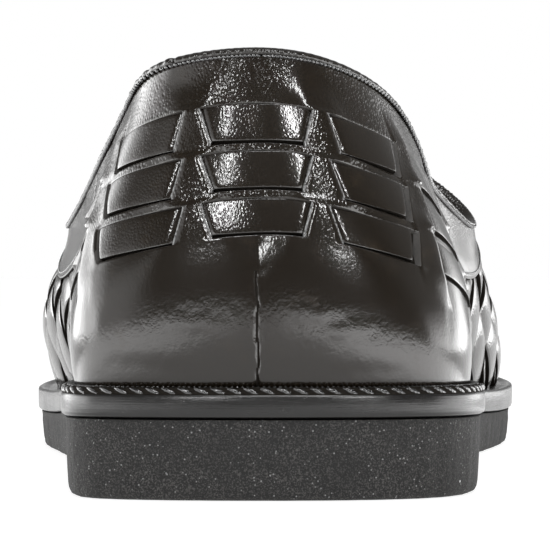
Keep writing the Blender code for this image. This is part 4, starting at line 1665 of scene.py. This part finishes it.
@dataclass
class Vamp(Part):
    """The woven forepart: two families of strips that pass over and under each other.

    A strip's number counts pitches across its family. The families cross about a spine along the
    forepart, and away from it the weave is unrolled from the curve of the foot.
    """

    pitch: float = 12.8
    width: float = 9.7
    angle: float = radians(39.0)
    wave: float = 0.66
    bed: float = -0.65
    thickness: float = 1.15
    spine_back: float = 60.0
    spine_front: float = 240.0
    spine_lean: float = 0.01
    unroll: float = 0.8
    steps: int = 10
    faces_across: int = 8
    tucked: float = -1.45
    margin: float = 3.4
    foot_margin: float = 2.4
    probe: float = 0.4

    def __post_init__(self) -> None:
        """Charts the weave on the sheet."""
        self.left = self.last.quarter_front
        self.right = self.last.end - self.left
        toe = self.last.section_curves(self.last.turn_at(np.array([self.last.end / 2])))[0]
        crest = toe[toe[:, 1] <= self.spine_front + 8][::-1]
        self.crest = crest[:, 1], crest[:, 2]
        us = np.arange(self.left - 14, self.right + 14, 4.0)
        vs = np.arange(-8.0, self.last.band_line + 12, 3.0)
        self.samples = np.array([(u, v) for u in us for v in vs])
        self.sample_strips = self.strips(self.samples)

    def strips(self, places: Array) -> Array:
        """Numbers the weave.

        Args:
            places: places on the sheet, one row each.

        Returns:
            A strip number of each family at each place; whole numbers are centre lines.
        """
        points = self.last.surface(places[:, 0], places[:, 1])
        spine = np.clip(points[:, 1], self.spine_back, self.spine_front)
        offset = np.column_stack([points[:, 0] - self.spine_lean * spine, points[:, 1] - spine])
        reach = np.linalg.norm(offset, axis=1) + 1e-9
        away = reach + self.unroll * (np.interp(spine, *self.crest) - points[:, 2])
        a = offset[:, 0] / reach * away
        b = offset[:, 1] / reach * away + spine
        one = a * cos(self.angle) - b * sin(self.angle)
        two = a * cos(self.angle) + b * sin(self.angle)
        return np.column_stack([one, two]) / self.pitch

    def nearest(self, targets: Array) -> Array:
        """Looks up the chart.

        Args:
            targets: pairs of strip numbers.

        Returns:
            The charted place nearest to each.
        """
        found = []
        for start in range(0, len(targets), 2000):
            some = targets[start:start + 2000, None, :] - self.sample_strips[None, :, :]
            found.append(self.samples[np.argmin(np.sum(some ** 2, axis=2), axis=1)])
        return np.concatenate(found)

    def places(self, targets: Array, guess: Array) -> tuple[Array, Array]:
        """Finds the places on the sheet with given strip numbers.

        Args:
            targets: pairs of strip numbers.
            guess: places to start from.

        Returns:
            The places, and whether each was reached.
        """
        place = guess.copy()
        for _ in range(10):
            here = self.strips(place)
            miss = targets - here
            a = (self.strips(place + (self.probe, 0.0)) - here) / self.probe
            b = (self.strips(place + (0.0, self.probe)) - here) / self.probe
            det = a[:, 0] * b[:, 1] - a[:, 1] * b[:, 0]
            det = np.where(np.abs(det) < 1e-5, 1e-5, det)
            step = np.column_stack([miss[:, 0] * b[:, 1] - miss[:, 1] * b[:, 0],
                                    a[:, 0] * miss[:, 1] - a[:, 1] * miss[:, 0]]) / det[:, None]
            place = place + np.clip(step, -5, 5)
            place[:, 0] = np.clip(place[:, 0], self.left - 20, self.right + 20)
            place[:, 1] = np.clip(place[:, 1], -14, self.last.sheet_height + 6)
        return place, np.abs(targets - self.strips(place)).max(axis=1) < 0.04

    def inside(self, place: Array) -> Array:
        """Whether places lie in the weave, grown by its margin."""
        u, v, margin = place[:, 0], place[:, 1], self.margin
        return ((u > self.left - margin) & (u < self.right + margin)
                & (v > -margin) & (v < self.last.band_line + margin))

    def runs(self, family: int, number: int) -> list[Array]:
        """Follows a strip's centre line wherever it crosses the weave.

        Args:
            family: 0 or 1.
            number: the strip's number.

        Returns:
            For each crossing of the weave, the other family's numbers along it.
        """
        low, high = self.sample_strips.min(axis=0), self.sample_strips.max(axis=0)
        along = np.arange(np.floor(low[1 - family]), np.ceil(high[1 - family]), 1.0 / self.steps)
        targets = np.empty((len(along), 2))
        targets[:, family], targets[:, 1 - family] = number, along
        place, reached = self.places(targets, self.nearest(targets))
        good = reached & self.inside(place)
        edges = np.flatnonzero(np.diff(np.concatenate([[0], good.astype(int), [0]])))
        return [along[a:b] for a, b in zip(edges[::2], edges[1::2]) if b - a >= 3]

    def strip(self, family: int, number: int, along: Array) -> Object:
        """Cuts one strip and draws it over and under the others.

        Args:
            family: 0 or 1.
            number: the strip's number.
            along: the other family's numbers along it.

        Returns:
            The strip.
        """
        sheet, column, row = flat_sheet("strip", len(along) - 1, self.faces_across)
        across = row / self.faces_across
        targets = np.empty((len(across), 2))
        targets[:, family] = number + (2 * across - 1) * (0.5 * self.width / self.pitch)
        targets[:, 1 - family] = along[column]
        middle = targets.copy()
        middle[:, family] = number
        guess, _ = self.places(middle, self.nearest(middle))
        place, reached = self.places(targets, guess)
        place = np.where(reached[:, None], place, guess)
        u = np.clip(place[:, 0], self.left - self.margin, self.right + self.margin)
        v = np.clip(place[:, 1], -self.foot_margin, self.last.band_line + self.margin)
        sign = 1 if family == 0 else -1
        swing = sign * np.cos(pi * (targets[:, 1 - family] + number))
        swing = np.sign(swing) * np.abs(swing) ** 0.75
        level = self.bed + self.wave * swing
        level = level + 0.24 * (1 - np.abs(2 * across - 1) ** 2.5) - 0.10
        level = level + 0.10 * np.sin(2.3 * targets[:, 1 - family] + 1.7 * number)
        tuck = np.minimum.reduce([u - self.left, self.right - u, self.last.band_line - v])
        level = self.tucked + (level - self.tucked) * ease((tuck + 1.2) / 3.6)
        return self.lay(sheet, u, v, level)

    def make(self) -> None:
        """Makes both families of strips."""
        low = np.floor(self.sample_strips.min(axis=0)).astype(int)
        high = np.ceil(self.sample_strips.max(axis=0)).astype(int)
        for family, name in enumerate(("vamp_strips_outward", "vamp_strips_inward")):
            piece = joined(name, [self.strip(family, number, along)
                                  for number in range(low[family], high[family] + 1)
                                  for along in self.runs(family, number)])
            self.cut(piece, self.finishes.vamp, self.thickness, 0.26, 2, 60.0, "upper")


@dataclass
class ThroatBand(Part):
    """The plain band that carries the weave's upper edge, over the instep and down both sides."""

    lap: float = 3.0
    leather: float = 1.3

    def make(self) -> None:
        """Makes the band and its lining."""
        start = self.last.quarter_front - self.lap
        end = self.last.end - start
        base, top = self.last.band_line - 1.2, self.last.sheet_height

        def pattern(along: Array, across: Array) -> tuple[Array, Array, Array]:
            """Lies over the weave's edge and sinks under the quarter at both ends.

            Args:
                along: shares along the sheet.
                across: shares across it.

            Returns:
                Distance round, height and level of each corner.
            """
            u = start + (end - start) * along
            v = base + (top - base) * across
            level = 0.22 - 0.12 * ease(across * 3) + 0.06 * np.sin(u / 7.0) * np.sin(across * 5)
            under = ease((u - start) / 5.0) * ease((end - u) / 5.0)
            return u, v, level - 0.5 * (1 - under)

        sheet = self.drape("throat_band", 420, 16, pattern)
        self.cut(sheet, self.finishes.quarter, self.leather, 0.28, 3, 60.0, "upper")
        self.back_up("band_lining", (300, 10), (start, end), base + 0.4, -1.5, 0.85)


@dataclass
class Binding(Part):
    """The strip folded over the topline all the way round, gathered on the curves.

    The profile runs from outside over the edge to inside: how far out and how far up from just
    under the leather's edge. lap is where the strip's ends overlap, round from the back seam.
    """

    columns: int = 1080
    gather: float = 0.15
    profile: tuple[tuple[float, float], ...] = (
        (0.35, -0.05), (0.66, -0.06), (0.86, 0.1), (0.95, 0.36), (0.9, 0.66), (0.6, 0.98),
        (0.1, 1.2), (-0.9, 1.3), (-1.9, 1.28), (-2.7, 1.08), (-3.25, 0.65), (-3.5, 0.0),
        (-3.55, -0.8), (-3.5, -1.7), (-3.4, -2.3), (-3.0, -2.5), (-2.7, -2.3),
    )
    lap: float = 24.5

    def make(self) -> None:
        """Makes the binding."""
        end = self.last.end
        sheet, column, row = flat_sheet("topline_binding", self.columns, len(self.profile) - 1)
        out, rise = np.array(self.profile)[row].T
        u = column / self.columns * end
        points, normals, up, _ = self.last.frames(u, np.full_like(u, self.last.sheet_height - 0.3))
        t = column / self.columns * 2 * pi
        folds = np.sin(300 * t + 2.0 * np.sin(17 * t)) \
            + 0.6 * np.sin(211 * t + 1.5 * np.sin(11 * t))
        curves = 0.35 + 0.65 * ease((np.abs(np.sin(2 * t + 0.6)) - 0.2) / 0.6)
        show = (out > -0.5) * ease((rise + 1.3) / 1.2)
        past = np.mod(u - self.lap, end)
        past = np.where(past > end / 2, past - end, past)
        lap = 0.45 * np.exp(-(past / 0.45) ** 2) \
            - 0.25 * np.where(past > 0, np.exp(-past / 3.0), 0.0)
        slim = 1 - 0.5 * ease((np.minimum(u, end - u) - 14.0) / 18.0) * (out > 0)
        push = out * slim + self.gather * folds * curves * show - lap * show
        lift = rise - 0.5 * lap * (rise > 0.4)
        place = points + normals * push[:, None] + up * lift[:, None]
        put_corners(sheet, self.last.placed(place))
        core = points - normals * 1.2 - up * 1.2
        face_out(sheet, place - core)
        weld(sheet)
        smooth_shade(sheet, 70.0)
        self.finish(sheet, self.finishes.binding, "binding_leather", "collar_binding")


@dataclass
class Sole(Part):
    """The crepe wedge, the smooth midsole with its welt, and the sock inside."""

    heel_flat_end: float = 74.0
    ball_flat_start: float = 146.0
    ball_flat_end: float = 212.0
    arch_rise: float = 1.6
    toe_spring: float = 8.6
    columns: int = 560
    crepe_drop: float = 0.35

    def tread(self, along: Array) -> Array:
        """Draws the underside of the crepe.

        Args:
            along: distances along the shoe.

        Returns:
            The height at each.
        """
        arch = (along - self.heel_flat_end) / (self.ball_flat_start - self.heel_flat_end)
        spring = (along - self.ball_flat_end) / (self.last.length - self.ball_flat_end)
        height = np.where((arch > 0) & (arch < 1), self.arch_rise * np.sin(pi * arch) ** 2, 0.0)
        return np.where(spring > 0, self.toe_spring * np.maximum(spring, 0) ** 2, height)

    def even_turns(self) -> Array:
        """Turns that share out the outline's length, symmetrically in number."""
        turns, reach = self.last.measured()
        return np.interp(np.linspace(0.0, reach[-1], self.columns + 1), reach, turns)

    def layer(self, name: str, rows: Sequence[tuple[float, float, Height]],
              roughen: float = 0.0) -> Object:
        """Makes a closed layer of the sole.

        Args:
            name: the piece's name.
            rows: inset in millimetres, share of the way in to the middle line, and height by
                distance along, from the middle of the top to the middle of the bottom.
            roughen: how far its lower edge wanders, in millimetres.

        Returns:
            The layer.
        """
        sheet, column, row = flat_sheet(name, self.columns, len(rows) - 1)
        turns = self.even_turns()
        t = turns * 2 * pi
        wander = np.sin(61 * t) + 0.8 * np.sin(97 * t + 1) + 0.7 * np.sin(143 * t + 2)
        places = np.empty((len(column), 3))
        for n, (inset, share, height) in enumerate(rows):
            rough = roughen if n > len(rows) // 3 else 0.0
            rim, _ = self.last.outline(turns, inset + rough * wander * (1 - share))
            plan = rim + (0.5 * (rim + rim[::-1]) - rim) * share
            chosen = row == n
            places[chosen, :2] = plan[column[chosen]]
            places[chosen, 2] = height(places[chosen, 1])
        put_corners(sheet, self.last.placed(places))
        weld(sheet, 2e-5)
        edit(sheet, bpy.ops.mesh.normals_make_consistent, inside=False)
        return sheet

    def make(self) -> None:
        """Makes the three layers."""
        def over(base: Height, rise: float) -> Height:
            """Runs this far over another height."""
            return lambda y: base(y) + rise

        def part_way(share: float) -> Height:
            """Runs this share of the way down the crepe."""
            return lambda y: crepe(y) + (tread(y) - crepe(y)) * share

        welt, tread, gap = self.last.welt_top, self.tread, self.last.clearance
        crepe = over(self.last.crepe_top, -self.crepe_drop)
        sheet = self.layer("crepe_sole", (
            (2.0, 1.0, crepe), (2.0, 0.5, crepe), (2.0, 0.0, crepe), (0.9, 0.0, crepe),
            (0.8, 0.0, over(crepe, -0.12)), (0.92, 0.0, part_way(0.12)), (1.0, 0.0, part_way(0.3)),
            (1.15, 0.0, part_way(0.5)), (1.28, 0.0, part_way(0.7)), (1.42, 0.0, over(tread, 1.7)),
            (1.55, 0.0, over(tread, 0.9)), (1.85, 0.0, over(tread, 0.3)), (2.5, 0.0, tread),
            (4.0, 0.0, tread), (4.0, 0.35, tread), (4.0, 0.7, tread), (4.0, 1.0, tread),
        ), 0.07)
        smooth_shade(sheet, 60.0)
        self.finish(sheet, self.finishes.crepe, "crepe_rubber", "crepe_outsole")
        base = over(crepe, gap)
        sheet = self.layer("midsole", (
            (5.0, 1.0, welt), (5.0, 0.4, welt), (5.0, 0.0, welt), (3.0, 0.0, over(welt, 0.05)),
            (2.3, 0.0, over(welt, -0.25)), (1.5, 0.0, over(welt, -0.3)),
            (0.95, 0.0, over(welt, 0.1)), (0.45, 0.0, over(welt, 0.1)),
            (0.12, 0.0, over(welt, -0.12)), (0.0, 0.0, over(welt, -0.5)),
            (0.0, 0.0, lambda y: 0.5 * (welt(y) + crepe(y))),
            (0.05, 0.0, over(base, 0.75)), (0.2, 0.0, over(base, 0.25)),
            (0.6, 0.0, base), (3.0, 0.0, base), (3.0, 0.5, base), (3.0, 1.0, base),
        ))
        smooth_shade(sheet, 50.0)
        self.finish(sheet, self.finishes.rubber, "smooth_rubber", "midsole_welt")
        base = over(welt, gap)
        sheet = self.layer("sock", [(inset, share, over(base, rise)) for inset, share, rise in (
            (9.0, 1.0, 2.0), (9.0, 0.75, 2.05), (9.0, 0.5, 2.2), (9.0, 0.25, 2.45),
            (9.0, 0.0, 2.7), (8.2, 0.0, 2.62), (7.8, 0.0, 2.3), (7.8, 0.0, 0.3),
            (8.2, 0.0, 0.0), (8.2, 1.0, 0.0))])
        smooth_shade(sheet, 60.0)
        self.finish(sheet, self.finishes.sock, "lining_leather", "insole")


@dataclass
class Stitching(Part):
    """Every row of stitches."""

    rope_pitch: float = 2.76
    rope_reach: float = 152.0
    knurl_pitch: float = 0.9
    rope_stitch: Triple = (3.5, 0.95, 0.75)
    knurl_stitch: Triple = (1.3, 0.5, 0.42)
    fine_pitch: float = 2.3
    fine_stitch: Triple = (1.7, 0.4, 0.34)
    binding_pitch: float = 1.25
    binding_stitch: Triple = (0.98, 0.5, 0.62)
    rand: tuple[tuple[float, float], ...] = (
        (0.75, -0.55), (0.3, -0.35), (0.16, 0.1), (0.24, 0.6), (0.55, 1.05), (1.0, 1.22), (1.9, 1.22),
        (2.35, 1.0), (2.75, 0.45), (2.8, 0.05),
    )

    def bead(self, length: float, width: float, height: float, segments: int = 8) -> Object:
        """Makes one stitch: a stretched ball, plumper in its middle.

        Args:
            length: its length in millimetres.
            width: its width.
            height: its height.
            segments: corners round it.

        Returns:
            The stitch.
        """
        bpy.ops.object.select_all(action="DESELECT")
        bpy.ops.mesh.primitive_uv_sphere_add(segments=segments, ring_count=6, radius=0.5)
        ball = bpy.context.object
        places = corners(ball)[:, [2, 0, 1]]
        ends = np.abs(places[:, 0]) * 2
        places[:, 1:] *= (1.0 + 0.25 * (1 - ends ** 2))[:, None]
        put_corners(ball, places * (length * MM, width * MM, height * MM))
        return ball

    def along_leather(self, us: Array, vs: Array, level: float, size: Triple, lean: float = 0.0,
                      upright: bool = False) -> Object:
        """Lays stitches on the leather.

        Args:
            us: distances round.
            vs: heights.
            level: level of the stitches' middles.
            size: length, width and height of a stitch.
            lean: slant from the row, in radians.
            upright: whether the row runs up the leather.

        Returns:
            The row of stitches.
        """
        points, normals, up, along = self.last.frames(us, vs)
        row, side = (up, along) if upright else (along, up)
        first = unit(row * cos(lean) + side * sin(lean))
        second = unit(np.cross(normals, first))
        places = self.last.placed(points + normals * level)
        frames = zip(np.stack([first, second, normals], axis=2), places)
        return copies("stitch", self.bead(*size), frames)

    def welt_turns(self, stops: Array) -> Array:
        """Turns at distances round the welt's edge from the back."""
        turns, reach = self.last.measured(1.0)
        return np.interp(np.mod(stops, reach[-1]), reach, turns)

    def heel_rand(self) -> None:
        """Lays the strip on the welt round the heel."""
        columns, reach = 640, self.rope_reach + 0.6
        sheet, column, row = flat_sheet("heel_rand", columns, len(self.rand) - 1)
        stops = (2 * (column / columns) - 1) * reach
        turns = self.welt_turns(stops)
        inset, rise = np.array(self.rand)[row].T
        thin = ease((reach - np.abs(stops)) / 7.0)
        rise = rise * (0.15 + 0.85 * thin) + 0.05 * np.sin(stops * 0.9) * (rise > 0.8)
        plan, _ = self.last.outline(turns, inset)
        core, _ = self.last.outline(turns, 1.5)
        welt = self.last.welt_top(plan[:, 1])
        place = np.column_stack([plan, welt + rise])
        put_corners(sheet, self.last.placed(place))
        face_out(sheet, place - np.column_stack([core, welt]))
        thicken(sheet, 0.25)
        smooth_shade(sheet, 60.0)
        # painted shade: the rand takes the dull black edge finish, so it reads as the shade between the
        # rope's stitches
        self.finish(sheet, self.finishes.edge, "smooth_rubber")

    def welt_row(self, name: str, pitch: float, inset: float, rise: float, slant: float,
                 size: Triple, sides: int, across: bool = False) -> None:
        """Lays a row of stitches on the welt round the heel.

        Args:
            name: the piece's name.
            pitch: distance between stitches.
            inset: how far inside the welt's edge.
            rise: height over the welt.
            slant: how far each stitch leans up out of the row, in radians.
            size: length, width and height of a stitch.
            sides: corners round each stitch.
            across: whether the stitches lie across the row.
        """
        count = int(self.rope_reach / pitch)
        turns = self.welt_turns(np.arange(-count, count + 1) * pitch)
        plan, outward = self.last.outline(turns, inset)
        ahead, _ = self.last.outline(turns + 0.0015, inset)
        up = np.array((0.0, 0.0, 1.0))
        frames = []
        for place, out, front in zip(plan, outward, ahead):
            run = np.append(unit(front - place), 0.0)
            out = np.append(out, 0.0)
            first = out if across else unit(run * cos(slant) + up * sin(slant))
            second = unit(np.cross(up, first)) if across else unit(out * 0.9 + up * 0.35)
            third = np.cross(first, second)
            spot = np.append(place, self.last.welt_top(place[1]) + rise)
            frames.append((np.column_stack([first, second, third]), self.last.placed(spot)))
        piece = copies(name, self.bead(*size, sides), frames)
        smooth_shade(piece)
        self.finish(piece, self.finishes.thread, "smooth_rubber")

    def rope(self) -> None:
        """Lays the heavy lockstitch round the heel's rand and the knurled row inside it."""
        self.heel_rand()
        self.welt_row("welt_lockstitch", self.rope_pitch, 0.62, 0.42, 0.36, self.rope_stitch, 10)
        self.welt_row("welt_knurl", self.knurl_pitch, 1.75, 1.2, 0.0, self.knurl_stitch, 6, True)

    def make(self) -> None:
        """Makes every row."""
        self.rope()
        last = self.last
        us = np.arange(0.0, last.end - 1.0, self.binding_pitch)
        pieces = [self.along_leather(us, last.below_top(us, 1.7), 0.34, self.binding_stitch, 0.3)]
        front = last.quarter_front
        us = np.arange(front + 1.5, last.end - front - 1.5, self.fine_pitch)
        vs = np.full_like(us, last.band_line + 0.9)
        pieces.append(self.along_leather(us, vs, 0.22, self.fine_stitch))
        for side in Side:
            vs = np.arange(3.0, last.sheet_height - 4.0, 3.0)
            us = np.full_like(vs, side.value * (front - 1.7))
            pieces.append(self.along_leather(us, vs, 0.1, self.fine_stitch, 0.0, True))
        piece = joined("edge_stitches", pieces)
        smooth_shade(piece)
        self.finish(piece, self.finishes.thread, "black_leather")


# ---------------- stage

class SoftBox(NamedTuple):
    """A soft light: its bearing round from behind the heel, its height, size and brightness."""

    name: str
    bearing: float
    elevation: float
    distance: float
    width: float
    height: float
    radiance: float


SOFT_BOXES = (
    SoftBox("left_box", -14.0, 25.5, 1.3, 0.07, 0.40, 50.0),
    SoftBox("right_box", 28.0, 29.0, 1.3, 0.07, 0.50, 58.0),
    SoftBox("overhead", 12.0, 62.0, 1.2, 0.5, 0.4, 9.0),
)


class Glow(NamedTuple):
    """A soft-edged bright side of the room.

    The bearing is from behind the heel, the spread runs from its full to its faint edge, and the
    fade from its full to its faint height.
    """

    bearing: float
    spread: tuple[float, float]
    fade: tuple[float, float]
    radiance: float


GLOWS = (
    Glow(-119.0, (22.0, 42.0), (2.0, 30.0), 6.2),
    Glow(-66.0, (12.0, 38.0), (14.0, 40.0), 1.4),
    Glow(121.0, (24.0, 43.0), (-2.0, 16.0), 6.0),
)


class FloorSide(NamedTuple):
    """A side of the floor that glows, a painted pool of light that lights the shoe's sides: which side,
    from how far out, and how brightly.
    """

    side: Side
    reach: tuple[float, float]
    radiance: float


FLOOR_SIDES = (
    FloorSide(Side.OUTER, (0.05, 0.18), 3.7),
    FloorSide(Side.INNER, (0.04, 0.15), 4.3),
)


@dataclass
class Studio:
    """Pale floor, bright sides of the room, three soft boxes, and the camera behind the heel."""

    distance: float = 565.0
    eye_height: float = 37.8
    aside: float = -0.55
    lens: float = 221.9
    dark: float = 0.03
    floor_glow: float = 0.86

    def make(self, last: Last) -> None:
        """Sets the stage.

        Args:
            last: the last that the shoe stands for.
        """
        self.floor()
        self.world()
        for box in SOFT_BOXES:
            self.soft_box(box)
        camera = bpy.data.cameras.new("camera")
        camera.lens, camera.sensor_width = self.lens, 36.0
        eye = bpy.data.objects.new("camera", camera)
        bpy.context.collection.objects.link(eye)
        eye.location = (self.aside * MM, -last.middle[1] * MM - self.distance * MM,
                        self.eye_height * MM)
        eye.rotation_euler = (pi / 2, 0.0, 0.0)
        bpy.context.scene.camera = eye
        bpy.context.scene.view_settings.view_transform = "Standard"

    def floor(self) -> None:
        """Lays the floor, which glows brighter on both sides of the heel."""
        bpy.ops.object.select_all(action="DESELECT")
        bpy.ops.mesh.primitive_plane_add(size=60.0, location=(0.0, 0.0, -0.0002))
        floor = bpy.context.object
        floor.name = "floor"
        r = Recipe("pale_floor")
        place = r.place()
        aside = r.axis(place, 0)
        beside = 1 - r.axis(place, 1).between(-0.02 / MM, 0.09 / MM)
        glow: Any = grey(self.floor_glow)
        # painted light: patches of floor beside the heel glow far brighter than the rest, as pools of
        # light that also light the shoe
        for glowing_side in FLOOR_SIDES:
            near, far = glowing_side.reach
            mask = beside * (-float(glowing_side.side.value) * aside).between(near / MM, far / MM)
            glow = r.mix(mask, glow, grey(glowing_side.radiance))
        r.set(Base_Color=grey(0.32), Roughness=0.9, Specular_IOR_Level=0.1,
              Emission_Color=glow, Emission_Strength=1.0)
        floor.data.materials.append(r.material)

    def world(self) -> None:
        """Makes the surroundings: white ahead, dark behind the camera, bright to both sides."""
        r = Recipe("studio", surroundings=True)
        bpy.context.scene.world = r.material
        direction = r.node("ShaderNodeTexCoord", {}, {}, "Generated")
        ahead, rise = r.axis(direction, 1), r.axis(direction, 2)
        strength = self.dark + 0.3 * ahead.between(-0.75, 0.2) \
            + (0.7 - self.dark) * ahead.between(0.9885, 0.993)
        for side in GLOWS:
            bearing = radians(side.bearing)
            full, faint = (cos(radians(angle)) for angle in side.spread)
            low, high = (sin(radians(angle)) for angle in side.fade)
            towards = r.vectors("DOT_PRODUCT", {
                0: direction, 1: (sin(bearing), -cos(bearing), 0.0)}, "Value")
            strength = strength + side.radiance * towards.between(faint, full) \
                * (1 - rise.between(low, high))
        r.set(Strength=strength, Color=grey(1.0))

    def soft_box(self, box: SoftBox) -> None:
        """Adds a soft light aimed at the shoe.

        Args:
            box: the light.
        """
        light = bpy.data.lights.new(box.name, "AREA")
        light.shape = "RECTANGLE"
        light.size, light.size_y = box.width, box.height
        light.energy = box.radiance * pi * box.width * box.height
        lamp = bpy.data.objects.new(box.name, light)
        bpy.context.collection.objects.link(lamp)
        bearing, lift = radians(box.bearing), radians(box.elevation)
        lamp.location = (box.distance * sin(bearing) * cos(lift),
                         -0.1 - box.distance * cos(bearing) * cos(lift),
                         0.03 + box.distance * sin(lift))
        lamp.rotation_euler = (pi / 2 - lift, 0.0, bearing)


def main() -> None:
    """Builds the shoe's looks round its solids."""
    logging.basicConfig(level=logging.INFO, format="%(name)s: %(message)s")
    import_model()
    last, finishes = Last(), Finishes()
    for part in (Sole, Quarter, Vamp, ThroatBand, Binding, Stitching):
        part(last, finishes).make()
    Studio().make(last)


if __name__ == "__main__":
    main()
